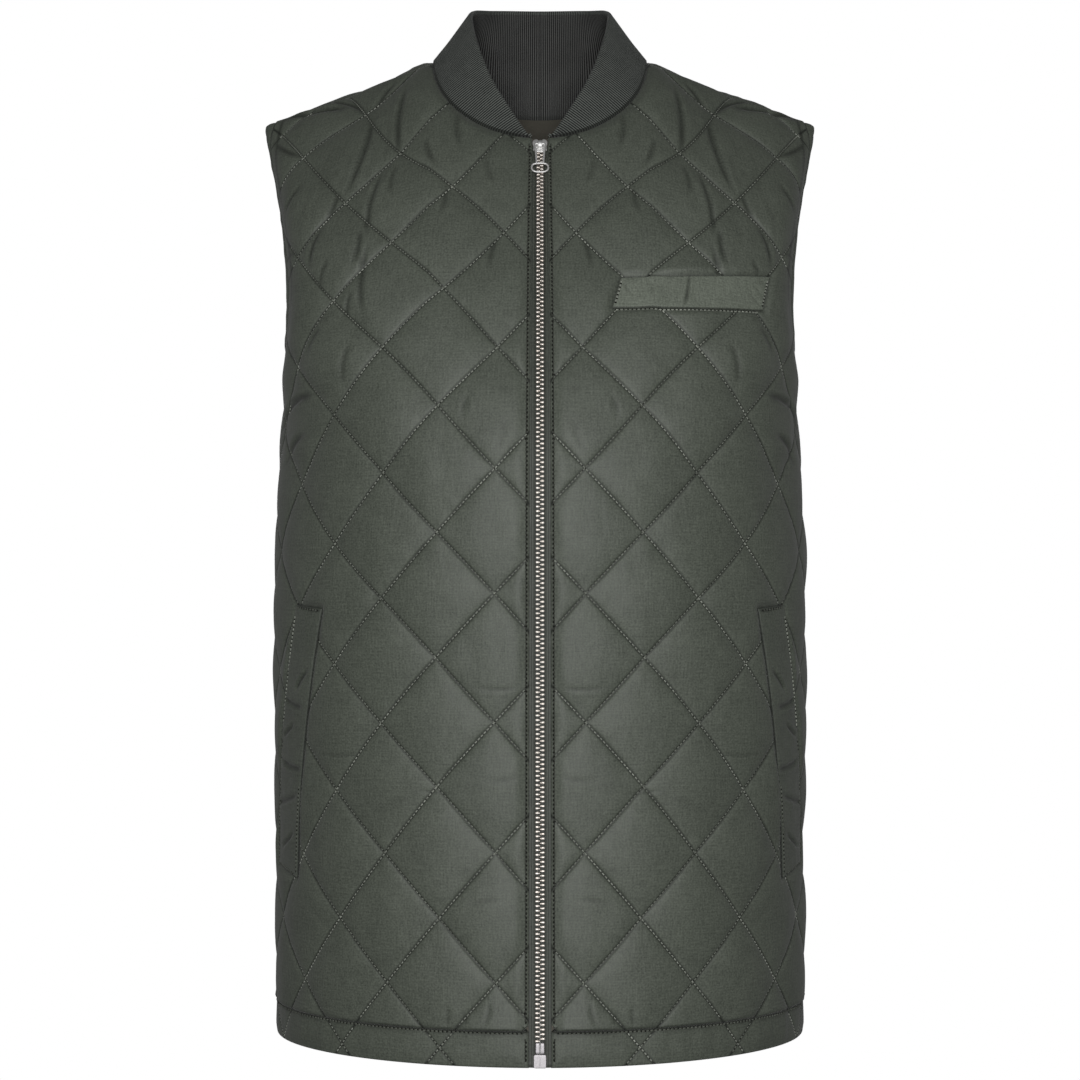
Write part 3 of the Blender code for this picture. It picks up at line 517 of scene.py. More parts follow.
class Shape:
    """The worn shape of the front or the back: cloth distances in, points in space out."""

    def __init__(self, facing, depth_column, slope_power):
        self.facing = facing
        rows = [self.body_row(depth_column, i / ROWS_BELOW) for i in range(ROWS_BELOW)]
        rows += [self.yoke_row(depth_column, slope_power, i / ROWS_ABOVE) for i in range(ROWS_ABOVE + 1)]
        self.grid = np.array(rows)
        self.heights = distances_along(self.grid[:, round(REFERENCE_SHARE * (COLUMNS - 1))])
        self.top = self.heights[-1]

    def body_row(self, depth_column, share):
        height = BODY[0, 0] + (BODY[-1, 0] - BODY[0, 0]) * share
        x, y = self.section(
            body_value(height, "half_width"),
            body_value(height, depth_column),
            body_value(height, "roundness"),
        )
        return self.even_points(x, y, np.full_like(x, height))

    def yoke_row(self, depth_column, power, share):
        turn = share * math.pi / 2
        rise = math.sin(turn) ** (2 / power)
        reach = max(math.cos(turn), 0) ** (2 / power)
        bust = BODY[-1, 0]
        x, y = self.section(
            yoke_value(rise, "half_width"),
            body_value(bust, depth_column) * reach,
            yoke_value(rise, "roundness"),
        )
        return self.even_points(x, y, bust + (ridge_height(x) - bust) * rise)

    def section(self, half_width, depth, roundness):
        angle = np.linspace(0, math.pi / 2, ARC_SAMPLES)
        x = half_width * np.sin(angle) ** (2 / roundness)
        y = self.facing * depth * np.abs(np.cos(angle)) ** (2 / roundness)
        return x, y

    def even_points(self, x, y, z):
        points = np.stack((x, y, z), axis=1)
        along = distances_along(points)
        return read_curve(np.linspace(0, along[-1], COLUMNS), along, points)

    def surface(self, across, up):
        """Points of the panel's inner face."""
        column = np.clip(np.abs(across) / PANEL_WIDTH, 0, 1) * (COLUMNS - 1)
        row = np.interp(up, self.heights, np.arange(len(self.heights)))
        points = read_grid(self.grid, row, column)
        points[:, 0] *= np.where(across < 0, -1, 1)
        return points

    def normal(self, across, up):
        """Directions that point out of the garment."""
        side = np.abs(across)
        left = np.clip(side - NORMAL_STEP, 0, PANEL_WIDTH)
        right = np.clip(side + NORMAL_STEP, 0, PANEL_WIDTH)
        below = np.clip(up - NORMAL_STEP, 0, self.top)
        above = np.clip(up + NORMAL_STEP, 0, self.top)
        sideways = self.surface(right, up) - self.surface(left, up)
        upward = self.surface(side, above) - self.surface(side, below)
        out = np.cross(sideways, upward) * -self.facing
        out /= np.linalg.norm(out, axis=1)[:, None]
        out[:, 0] *= np.where(across < 0, -1, 1)
        return out

    def place(self, across, up, out):
        across = np.asarray(across, dtype=float)
        up = np.asarray(up, dtype=float)
        out = np.broadcast_to(np.asarray(out, dtype=float), across.shape)
        return self.surface(across, up) + self.normal(across, up) * out[:, None]

    def cloth_at(self, x, z):
        """The cloth distances of the point seen at x, z in the front view."""
        across = np.array([abs(x)])
        up = np.array([z - BODY[0, 0]])
        step = NORMAL_STEP / 10
        for _ in range(SOLVE_ROUNDS):
            here = self.surface(across, up)[0]
            side = (self.surface(across + step, up)[0] - here) / step
            rise = (self.surface(across, up + step)[0] - here) / step
            matrix = np.array(((side[0], rise[0]), (side[2], rise[2])))
            miss = np.array((abs(x) - here[0], z - here[2]))
            move = np.linalg.lstsq(matrix, miss, rcond=None)[0]
            across = np.clip(across + SOLVE_EASE * move[0], 0, PANEL_WIDTH - step)
            up = np.clip(up + SOLVE_EASE * move[1], 0, self.top - step)
        return float(across[0]), float(up[0])


FRONT = Shape(-1, "front_depth", CHEST_SLOPE_POWER)
BACK = Shape(1, "back_depth", BACK_SLOPE_POWER)


def armhole_curve(shape):
    """Cloth points of one panel's armhole edge, from the underarm to the shoulder's tip."""
    bottom = np.interp(ARMHOLE_BOTTOM_HEIGHT, shape.grid[:, -1, 2], shape.heights)
    share = np.sin(np.linspace(0, math.pi / 2, ARMHOLE_STATIONS)) ** 2
    scoop = np.sqrt(share) * (1 - share) ** 2
    scoop *= ARMHOLE_SCOOP / scoop.max()
    across = PANEL_WIDTH - SEAM_GAP / 2 - scoop - ARMHOLE_TIP_INSET * share
    up = bottom + (shape.top - SEAM_GAP / 2 - bottom) * share
    return np.stack((across, up), axis=1)


def neck_curve(shape, drop):
    """Cloth points of half a neckline, from the shoulder to the centre line."""
    turns = np.linspace(0, math.pi / 2, NECK_STATIONS)
    points = [shape.cloth_at(HIGH_POINT_X * math.cos(turn), -drop * math.sin(turn)) for turn in turns]
    curve = np.array(points)
    curve[0, 1] = shape.top - SEAM_GAP / 2
    curve[-1, 0] = 0
    return curve


def front_edge(up):
    """Distance from the zip's centre line to the front's folded edge."""
    return FRONT_EDGE_HEM + (FRONT_EDGE_TOP - FRONT_EDGE_HEM) * up / FRONT.top


def make_front_neck():
    curve = neck_curve(FRONT, FRONT_NECK_DROP)
    curve[-1, 0] = front_edge(curve[-1, 1])
    return curve


FRONT_NECK = make_front_neck()
BACK_NECK = neck_curve(BACK, BACK_NECK_DROP)
FRONT_ARMHOLE = armhole_curve(FRONT)
BACK_ARMHOLE = armhole_curve(BACK)


def panel_outlines():
    """Outlines of a front, half a hem and the back, each with its hem strip apart."""
    side = PANEL_WIDTH - SEAM_GAP / 2
    seam = HEM_DEPTH + SEAM_GAP / 2
    under = HEM_DEPTH - SEAM_GAP / 2
    front = np.concatenate((
        [[front_edge(seam), seam], [side, seam]], FRONT_ARMHOLE, FRONT_NECK,
    ))
    front_hem = np.array([[front_edge(0), 0], [side, 0], [side, under], [front_edge(under), under]])
    half = np.concatenate(([[side, seam]], BACK_ARMHOLE, BACK_NECK))
    back = np.concatenate((half, half[-2::-1] * np.array((-1, 1))))
    back_hem = np.array([[-side, 0], [side, 0], [side, under], [-side, under]])
    return front, front_hem, back, back_hem


FRONT_OUTLINE, FRONT_HEM, BACK_OUTLINE, BACK_HEM = panel_outlines()


def whole_outline(outline, hem):
    """An outline run on across the hem's seam: a panel with its hem strip, or the strip grown upward."""
    whole = outline.copy()
    seam = np.abs(whole[:, 1] - HEM_DEPTH) < SEAM_GAP
    whole[seam, 1] = 2 * HEM_DEPTH if hem else 0
    return whole


def noise(x, y, seed):
    """Smooth random values from -1 to 1 over a plane."""
    i = np.floor(x)
    j = np.floor(y)
    u = smooth_step(x - i)
    v = smooth_step(y - j)

    def corner(p, q):
        value = np.sin(p * NOISE_MIX[0] + q * NOISE_MIX[1] + seed * NOISE_MIX[2]) * NOISE_SPREAD
        return 2 * (value - np.floor(value)) - 1

    low = corner(i, j) * (1 - u) + corner(i + 1, j) * u
    high = corner(i, j + 1) * (1 - u) + corner(i + 1, j + 1) * u
    return low * (1 - v) + high * v


def cloth_noise(points, size, seed):
    return noise(points[:, 0] / size[0], points[:, 1] / size[1], seed)


def smooth_step(value):
    value = np.clip(value, 0, 1)
    return value * value * (3 - 2 * value)


def edge_nearest(points, outline):
    """Distance to an outline, the nearest point on it and the direction into it there."""
    ends = np.roll(outline, -1, axis=0)
    turn = np.sum(outline[:, 0] * ends[:, 1] - ends[:, 0] * outline[:, 1])
    gap = np.full(len(points), np.inf)
    nearest = np.zeros((len(points), 2))
    inward = np.zeros((len(points), 2))
    for start, end in zip(outline, ends):
        run = end - start
        length = run @ run
        if length < WELD**2:
            continue
        share = np.clip((points - start) @ run / length, 0, 1)
        foot = start + share[:, None] * run
        reach = np.linalg.norm(points - foot, axis=1)
        closer = reach < gap
        gap[closer] = reach[closer]
        nearest[closer] = foot[closer]
        normal = np.array((-run[1], run[0])) * np.sign(turn) / math.sqrt(length)
        inward[closer] = normal
    return gap, nearest, inward


def inside_outline(points, outline):
    ends = np.roll(outline, -1, axis=0)
    inside = np.zeros(len(points), dtype=bool)
    x, y = points.T
    for (x0, y0), (x1, y1) in zip(outline, ends):
        crosses = (y0 > y) != (y1 > y)
        if y1 != y0:
            inside ^= crosses & (x < (x1 - x0) * (y - y0) / (y1 - y0) + x0)
    return inside


def patch_distance(points, corners):
    """Distance of cloth points from a convex patch, 0 inside it."""
    corners = np.array(corners)
    gap = edge_nearest(points, corners)[0]
    gap[inside_outline(points, corners)] = 0
    return gap


class Quilting:
    """The crossing lines of quilting on a panel: cloth points to numbers of lines, and back."""

    def __init__(self, first_column, shifts):
        self.first_column = first_column
        self.centres = shifts[:, :2]
        bonds = SHIFT_EASE * np.eye(len(shifts))
        for row, centre in zip(bonds, self.centres):
            row += self.nearness(self.centres, centre)
        self.weights = np.linalg.solve(bonds, shifts[:, 2:])

    def nearness(self, points, centre):
        return np.exp(-np.sum((points - centre) ** 2, axis=1) / SHIFT_REACH**2)

    def shift(self, points):
        """How far the lines stray from an even grid. They also droop towards the side seam."""
        moved = np.zeros_like(points)
        moved[:, 1] = QUILT_DROOP * (points[:, 0] / PANEL_WIDTH) ** 2
        for centre, weight in zip(self.centres, self.weights):
            moved += self.nearness(points, centre)[:, None] * weight
        return moved

    def lines(self, points):
        """Position of cloth points between the rising and between the falling lines."""
        even = points + self.shift(points)
        across = (even[:, 0] - self.first_column) / QUILT_ACROSS
        up = (even[:, 1] - QUILT_ROW_HEIGHT) / QUILT_UP
        return (across - up) / 2, (across + up) / 2

    def cells(self, points):
        """Numbers of lines at cloth points, and how far in from them they lie: 1 in a diamond's middle."""
        numbers = self.lines(points)
        return numbers, [1 - np.abs(2 * (number % 1) - 1) for number in numbers]

    def number_ranges(self, low, high):
        """The lowest and highest numbers of the lines that cross a box of cloth points."""
        box = np.array([(x, y) for x in (low[0], high[0]) for y in (low[1], high[1] + QUILT_DROOP)])
        return [(math.floor(numbers.min()), math.ceil(numbers.max())) for numbers in self.lines(box)]

    def points(self, rising, falling):
        across = self.first_column + (rising + falling) * QUILT_ACROSS
        up = QUILT_ROW_HEIGHT + (falling - rising) * QUILT_UP
        even = np.stack((across, up), axis=-1)
        points = even
        for _ in range(SHIFT_ROUNDS):
            points = even - self.shift(points)
        return points


LINE_LENGTH = math.hypot(QUILT_ACROSS, QUILT_UP)
LINE_SPACING = 2 * QUILT_ACROSS * QUILT_UP / LINE_LENGTH


def dome_height(shares):
    """Height of a diamond's padding: 0 on its lines, 1 in its middle."""
    r, f = shares
    return np.maximum(r * (2 - r) * f * (2 - f), 0) ** PUFF_POWER


def crease_lines(points, creases):
    """For each crease: which points are near it, how many widths beside it, and its depth there."""
    for across, up, end_across, end_up, depth, full_width, bow in creases:
        width = CREASE_WIDTH * full_width
        start = np.array((across, up))
        run = np.array((end_across, end_up)) - start
        length = np.linalg.norm(run)
        run /= length
        along = (points - start) @ run / length
        beside = (points - start) @ np.array((-run[1], run[0]))
        beside = beside - bow * 4 * along * (1 - along)
        near = (along > -CREASE_END) & (along < 1 + CREASE_END) & (np.abs(beside) < CREASE_REACH * width)
        fade = smooth_step((along[near] + CREASE_END) / CREASE_FADES[0])
        fade *= smooth_step((1 + CREASE_END - along[near]) / CREASE_FADES[1])
        yield near, beside[near] / width, depth * fade


def crease_height(points, creases):
    """Troughs with a soft ridge beside each."""
    height = np.zeros(len(points))
    for near, side, depth in crease_lines(points, creases):
        ridges = sum(share * np.exp(-((side - place) / size) ** 2) for place, size, share in RIDGES)
        height[near] -= CREASE_DEPTH * depth * (np.exp(-side**2) - CREASE_RIDGE * ridges)
    return height


def crease_shade(points, creases):
    """How much painted shade lies on the points in creases, from 0 to 1, by how deep in them they lie."""
    shade = np.zeros(len(points))
    for near, side, depth in crease_lines(points, creases):
        shade[near] = np.maximum(shade[near], np.exp(-side**2) * np.minimum(depth / CREASE_SHADE_FULL, 1))
    return shade


def one_side(points):
    """Cloth points, those of the right half mirrored onto the left."""
    return np.stack((np.abs(points[:, 0]), points[:, 1]), axis=1)


class Panel:
    """One quilted panel: its cut, its quilting and what lies flat on it."""

    def __init__(self, shape, hand, quilting, creases, flats, seed):
        self.shape = shape
        self.hand = hand
        self.quilting = quilting
        self.creases = creases
        self.flats = flats
        self.seed = seed
        self.neck, self.armhole = (
            (FRONT_NECK, FRONT_ARMHOLE) if shape is FRONT else (BACK_NECK, BACK_ARMHOLE)
        )

    def armhole_gap(self, points):
        return edge_nearest(one_side(points), self.armhole)[0]

    def relief(self, points, outline, hem):
        """Distance of the outer face from the inner face."""
        edge = edge_nearest(points, whole_outline(outline, hem))[0]
        (rising, falling), (r, f) = self.quilting.cells(points)
        dome = dome_height((r, f))
        full = np.minimum(dome, 1)
        cell = noise(np.floor(rising) * CELL_MIX[0] + 0.5, np.floor(falling) * CELL_MIX[1] + 0.5, self.seed)
        puff = PUFF * dome * (1 + PUFF_VARIATION * cell)
        for along, between, share in ((falling, rising, r), (rising, falling, f)):
            gap = share * LINE_SPACING / 2
            line = np.round(between) * LINE_MIX + 0.5
            waves = noise(along * LINE_LENGTH / PUCKER_PITCH, line, self.seed + 1)
            puff += PUCKER * waves * np.exp(-gap / PUCKER_REACH) * np.minimum(gap / PUCKER_START, 1)
        soft = cloth_noise(points, WAVE_SIZE, self.seed + 2)
        soft += FINE_WAVE * cloth_noise(points, FINE_WAVE_SIZE, self.seed + 3)
        puff += WAVE * soft * full
        puff += (crease_height(points, self.creases) + self.wrinkles(points)) * np.sqrt(full)
        keep = smooth_step(edge / EDGE_FLAT) ** EDGE_POWER
        keep *= smooth_step(self.armhole_gap(points) / ARMHOLE_FLAT)
        if hem:
            gather = cloth_noise(points, HEM_GATHER_SIZE, self.seed + 4)
            puff = HEM_PUFF * puff + HEM_GATHER * gather
        else:
            keep = np.minimum(keep, np.sqrt(np.clip((points[:, 1] - HEM_DEPTH) / HEM_ROUND, 0, 1)))
        for corners in self.flats:
            keep *= smooth_step(patch_distance(points, corners) / FLAT_FADE)
        groove = np.abs(points[:, 1] - HEM_DEPTH) / HEM_GROOVE
        rim = 1 - np.clip(np.minimum(edge / EDGE_ROUND, groove), 0, 1)
        base = STITCHED_THICKNESS * (EDGE_LEFT + (1 - EDGE_LEFT) * np.sqrt(1 - rim**2))
        return base + np.maximum(puff, DEEPEST_PUFF) * keep

    def wrinkles(self, points):
        """Fine upright wrinkles, mostly across the chest."""
        across, up = points.T
        bend = WRINKLE_BEND * cloth_noise(points, WRINKLE_BEND_SIZE, self.seed + 5)
        lines = noise(across / WRINKLE_SIZE[0] + bend, up / WRINKLE_SIZE[1], self.seed + 6)
        patches = 0.5 + WRINKLE_PATCH * cloth_noise(points, WRINKLE_PATCH_SIZE, self.seed + 7)
        share = WRINKLE_BELOW + (1 - WRINKLE_BELOW) * smooth_step((up - WRINKLE_CHEST) / WRINKLE_FADE)
        return WRINKLE * share * smooth_step(patches) * (1 - WRINKLE_SHARPNESS * np.abs(lines))

    def place(self, points, out):
        return self.shape.place(points[:, 0] * self.hand, points[:, 1], out)

    def normal(self, points):
        return self.shape.normal(points[:, 0] * self.hand, points[:, 1])


def quilt_fill(outline, quilting, steps, inset):
    """Flat points and faces of a panel in rows along the quilting, up to an inset from its edge."""
    low = outline.min(axis=0) - LINE_LENGTH / 2
    high = outline.max(axis=0) + LINE_LENGTH / 2
    shares = np.arange(steps) / steps
    shares = shares - CROWDING * np.sin(2 * math.pi * shares) / (2 * math.pi)
    ranges = [
        (np.arange(first - 1, last + 1)[:, None] + shares).ravel()
        for first, last in quilting.number_ranges(low, high)
    ]
    rising, falling = np.meshgrid(*ranges, indexing="ij")
    points = quilting.points(rising.ravel(), falling.ravel())
    near = np.all((points > low) & (points < high), axis=1)
    gap = np.full(len(points), np.inf)
    nearest = np.zeros_like(points)
    inward = np.zeros_like(points)
    gap[near], nearest[near], inward[near] = edge_nearest(points[near], outline)
    good = np.zeros(len(points), dtype=bool)
    good[near] = inside_outline(points[near], outline)
    good &= gap > inset
    count = np.arange(len(points)).reshape(rising.shape)
    corners = (count[:-1, :-1], count[1:, :-1], count[1:, 1:], count[:-1, 1:])
    quads = np.stack(corners, axis=-1).reshape(-1, 4)
    quads = quads[good[quads].any(axis=1)]
    points = np.where(good[:, None], points, nearest + inward * inset)
    return weld_faces(points, quads)


def weld_faces(points, quads):
    """Joins points that coincide and drops the faces that vanish."""
    used = np.unique(quads)
    keys = np.round(points[used] / WELD).astype(np.int64)
    first, label = np.unique(keys, axis=0, return_index=True, return_inverse=True)[1:]
    number = np.zeros(len(points), dtype=np.int64)
    number[used] = label.ravel()
    faces = []
    for face in number[quads].tolist():
        kept = [v for k, v in enumerate(face) if v != face[k - 1]]
        if len(set(kept)) == len(kept) and len(kept) > 2:
            faces.append(kept)
    return points[used][first], faces


def boundary_edges(faces):
    """Directed edges that only one face has."""
    pairs = {}
    for face in faces:
        for k, end in enumerate(face):
            pairs[(face[k - 1], end)] = True
    return [(a, b) for a, b in pairs if (b, a) not in pairs]


def panel_mesh(panel, outline, steps, hem):
    """Points in space, cloth points and faces of a panel's outer face with its rounded rim."""
    flat, faces = quilt_fill(outline, panel.quilting, steps, INSET)
    edges = boundary_edges(faces)
    rim = sorted({v for edge in edges for v in edge})
    order = {v: k for k, v in enumerate(rim)}
    border = flat[rim]
    target = edge_nearest(border, outline)[1]
    for corner in sharp_corners(outline):
        target[np.argmin(np.linalg.norm(border - corner, axis=1))] = corner
    cloth = [flat]
    for share in BAND:
        cloth.append(target + (border - target) * share)
    cloth.append(target)
    cloth = np.concatenate(cloth)
    out = panel.relief(cloth, outline, hem)
    out[-len(rim):] = 0
    rows = [rim] + [[len(flat) + k * len(rim) + i for i in range(len(rim))] for k in range(len(BAND) + 1)]
    for before, after in zip(rows, rows[1:]):
        for a, b in edges:
            faces.append([before[order[b]], before[order[a]], after[order[a]], after[order[b]]])
    return panel.place(cloth, out), cloth, faces


def sharp_corners(outline):
    """Corners of an outline that turn sharply."""
    before = outline - np.roll(outline, 1, axis=0)
    after = np.roll(outline, -1, axis=0) - outline
    cross = before[:, 0] * after[:, 1] - before[:, 1] * after[:, 0]
    turn = np.arctan2(cross, np.sum(before * after, axis=1))
    return outline[np.abs(turn) > SHARP_TURN]


def add_piece(
    name, points, faces, material, slot, node=None, body="garment", outward=None,
    cloth=None, quilt=None, fold=None,
):
    """A mesh piece that rides on a body and may stand for a CAD node. Its faces look along outward."""
    mesh = bpy.data.meshes.new(name)
    mesh.from_pydata(np.asarray(points, dtype=float).tolist(), [], [list(face) for face in faces])
    for layer, values in (("cloth", cloth), ("quilt", quilt)):
        if values is not None:
            corner = np.zeros(len(mesh.loops), dtype=np.int32)
            mesh.loops.foreach_get("vertex_index", corner)
            spots = np.asarray(values, dtype=np.float32)[corner].ravel()
            mesh.uv_layers.new(name=layer).data.foreach_set("uv", spots)
    # The fold attribute carries painted shade from 0 to 1, which darkens the cloth in creases and seams
    if fold is not None:
        shade = mesh.attributes.new("fold", "FLOAT", "POINT")
        shade.data.foreach_set("value", fold.astype(np.float32))
    if outward is not None:
        flip_to(mesh, np.asarray(outward))
    mesh.shade_smooth()
    for entry in material if isinstance(material, tuple) else (material,):
        mesh.materials.append(entry)
    item = bpy.data.objects.new(name, mesh)
    bpy.context.scene.collection.objects.link(item)
    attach(item, body)
    if node:
        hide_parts(node)
    return item


def flip_to(mesh, outward):
    """Turns all faces over if most of them look against the outward directions of their points."""
    normals = np.zeros(len(mesh.polygons) * 3, dtype=np.float32)
    mesh.polygons.foreach_get("normal", normals)
    areas = np.zeros(len(mesh.polygons), dtype=np.float32)
    mesh.polygons.foreach_get("area", areas)
    first = np.array([polygon.vertices[0] for polygon in mesh.polygons])
    facing = np.sum(normals.reshape(-1, 3) * outward[first], axis=1)
    if np.sum(facing * areas) < 0:
        mesh.flip_normals()


def joined(groups):
    """One set of points and faces from several. A group may have cloth points between the two."""
    faces = []
    total = 0
    for group in groups:
        faces += [[v + total for v in face] for face in group[-1]]
        total += len(group[0])
    return *(np.concatenate(part) for part in list(zip(*groups))[:-1]), faces


def grid_faces(rows, columns, first=0, wrap=False):
    """Faces between rows of points, wrapped around the columns if asked."""
    faces = []
    for i in range(rows - 1):
        for j in range(columns if wrap else columns - 1):
            k = (j + 1) % columns
            a = first + i * columns
            faces.append((a + j, a + k, a + columns + k, a + columns + j))
    return faces


# Materials

WAVE_PERIOD = 0.314
SHEEN_ROUGHNESS = 0.45
SHELL_ROUGHNESS = 0.57
SHELL_SHEEN = 0.10
SHELL_GLOSS = 0.4
CLOTH_GLOSS = 0.3
KNIT_GLOSS = 0.2
METAL_GLOSS = 0.5
# Painted shade: its colour, how far it darkens the cloth in creases and seams and along the quilting lines,
# its reach from a line, and its reach from the knit's seam
SHADE = (0.012, 0.014, 0.011)
PAINTED_SHADE_DARKNESS = 0.74
LINE_SHADE_DARKNESS = 0.88
LINE_SHADE = (0.0016, 0.0002)
KNIT_SEAM_SHADE = (0.0013, 0.0005)
YARN_LOOP = 0.0011
CRINKLE = 4.0
# Scales of noise, in waves for each metre: across and up where it is stretched
CLOTH_MOTTLE = 45.0
CLOTH_GRAIN = 620.0
SHELL_MOTTLE = 38.0
SHELL_GRAIN = 760.0
WARP_STREAKS = (900.0, 110.0)
WEFT_STREAKS = (70.0, 980.0)
CRINKLE_STREAKS = (105.0, 26.0)
KNIT_MOTTLE = 60.0
KNIT_FUZZ = 1500.0
METAL_SPOTS = 900.0
METAL_SCRATCHES = 2600.0
# Parts of a noise's range that a tone runs through
MIDDLE_RANGE = (0.3, 0.7)
GRAIN_RANGE = (0.25, 0.75)
CLOTH_TONE_RANGE = (0.2, 1.6)
SHELL_TONE_RANGE = (0.4, 2.0)
KNIT_TONE_RANGE = (0.50, 1.45)
SPOT_RANGE = (0.35, 0.75)
# Weights of what is added up to a tone or a height
CLOTH_GRAIN_TONE = 0.8
CLOTH_GRAIN_HEIGHT = 1.4
WARP_TONE = 0.45
WEFT_TONE = 0.4
MOTTLE_TONE = 0.7
WARP_HEIGHT = 0.7
FUZZ_TONE = 0.45
KNIT_MOTTLE_TONE = 0.3
LOOP_TONE = 0.15
FUZZ_HEIGHT = 1.2
# Relief, as strength and depth, distortion of the threads, and spread of the roughness
CLOTH_RELIEF = 0.55
SHELL_RELIEF = (0.6, 0.00018)
KNIT_RELIEF = (0.5, 0.00015)
WEAVE_DISTORTION = 0.6
LOOP_DISTORTION = 1.0
CLOTH_SPREAD = (0.06, 0.08)
METAL_SPREAD = (0.05, 0.12)
THREAD_TWIST = 0.0004
THREAD_DEPTH = 0.00005
LINING_WEAVE = 0.0005
LINING_DEPTH = 0.0001


class Surface:
    """A material in the making: its shader, and short ways to add nodes to it."""

    def __init__(self, name, roughness, sheen, specular, metallic=0.0):
        self.material = bpy.data.materials.new(name)
        self.material.use_nodes = True
        self.tree = self.material.node_tree
        self.inputs = self.tree.nodes["Principled BSDF"].inputs
        self.roughness = roughness
        self.inputs["Roughness"].default_value = roughness
        self.inputs["Metallic"].default_value = metallic
        self.inputs["Sheen Weight"].default_value = sheen
        self.inputs["Sheen Roughness"].default_value = SHEEN_ROUGHNESS
        self.inputs["Specular IOR Level"].default_value = specular

    def join(self, value, socket):
        """Links a node's output to a socket, or sets the socket to a number or a colour."""
        if isinstance(value, bpy.types.NodeSocket):
            self.tree.links.new(value, socket)
        else:
            socket.default_value = value

    def node(self, kind, output=0, **values):
        """A new node's output. A value goes to the input of that name, or else to the node itself."""
        node = self.tree.nodes.new("ShaderNode" + kind)
        for key, value in values.items():
            socket = node.inputs.get(key.replace("_", " "))
            if socket is not None:
                self.join(value, socket)
            else:
                setattr(node, key, value)
        return node.outputs[output]

    def in_order(self, output, sockets, values):
        """An output of a node whose inputs, by number, take the values."""
        for k, value in zip(sockets, values):
            self.join(value, output.node.inputs[k])
        return output

    def maths(self, operation, *values):
        return self.in_order(self.node("Math", operation=operation), range(3), values)

    def total(self, first, second, weight):
        return self.maths("MULTIPLY_ADD", second, weight, first)

    def blend(self, factor, first, second):
        """Blends two colours, or node outputs, by a factor."""
        colours = [(*value, 1) if isinstance(value, tuple) else value for value in (first, second)]
        return self.in_order(self.node("Mix", 2, data_type="RGBA"), (0, 6, 7), (factor, *colours))

    def remap(self, value, low, high):
        return self.node("MapRange", "Result", Value=value, From_Min=low, From_Max=high)

    def cloth_place(self):
        """Cloth distances in metres."""
        return self.node("UVMap", "UV", uv_map="cloth")

    def own_place(self):
        return self.node("TexCoord", "Object")

    def split(self, place, axis):
        return self.node("SeparateXYZ", axis, Vector=place)

    def noise(self, place, scale, detail=3.0):
        return self.node("TexNoise", "Fac", Vector=place, Scale=scale, Detail=detail)

    def streaks(self, place, scales, detail):
        """Noise that is stretched by its scales across and up."""
        stretch = self.node("VectorMath", operation="MULTIPLY")
        return self.noise(self.in_order(stretch, range(2), (place, (*scales, 1.0))), 1.0, detail)

    def waves(self, place, pitch, way, distortion=0.0, phase=0.0):
        return self.node(
            "TexWave", "Fac", Vector=place, Scale=WAVE_PERIOD / pitch, Distortion=distortion,
            bands_direction=way, Phase_Offset=phase,
        )

    def paint(self, colour):
        self.join(colour, self.inputs["Base Color"])

    def emboss(self, height, strength, distance):
        bump = self.node("Bump", "Normal", Strength=strength, Distance=distance, Height=height)
        self.join(bump, self.inputs["Normal"])

    def roughen(self, value, below, above):
        """Lets the roughness vary with a value."""
        low = self.roughness - below
        high = self.roughness + above
        spread = self.node("MapRange", "Result", Value=value, To_Min=low, To_Max=high)
        self.join(spread, self.inputs["Roughness"])


def fabric(name, dark, light, roughness, sheen, thread, depth, place=Surface.own_place):
    """Woven cloth: crossing threads in relief, with a soft mottle in its colour."""
    surface = Surface(name, roughness, sheen, CLOTH_GLOSS)
    spot = place(surface)
    wide = surface.noise(spot, CLOTH_MOTTLE)
    close = surface.noise(spot, CLOTH_GRAIN)
    warp, weft = (surface.waves(spot, thread, way, WEAVE_DISTORTION) for way in "XY")
    grain = surface.remap(close, *GRAIN_RANGE)
    mottle = surface.total(surface.remap(wide, *MIDDLE_RANGE), grain, CLOTH_GRAIN_TONE)
    surface.paint(surface.blend(surface.remap(mottle, *CLOTH_TONE_RANGE), dark, light))
    height = surface.total(surface.total(warp, weft, 1.0), close, CLOTH_GRAIN_HEIGHT)
    surface.emboss(height, CLOTH_RELIEF, depth)
    surface.roughen(close, *CLOTH_SPREAD)
    return surface.material


def quilt_gap(surface):
    """Distance from the nearest line of quilting."""
    place = surface.node("UVMap", "UV", uv_map="quilt")
    gaps = [surface.maths("PINGPONG", surface.split(place, axis), 0.5) for axis in "XY"]
    return surface.maths("MULTIPLY", surface.maths("MINIMUM", *gaps), LINE_SPACING)


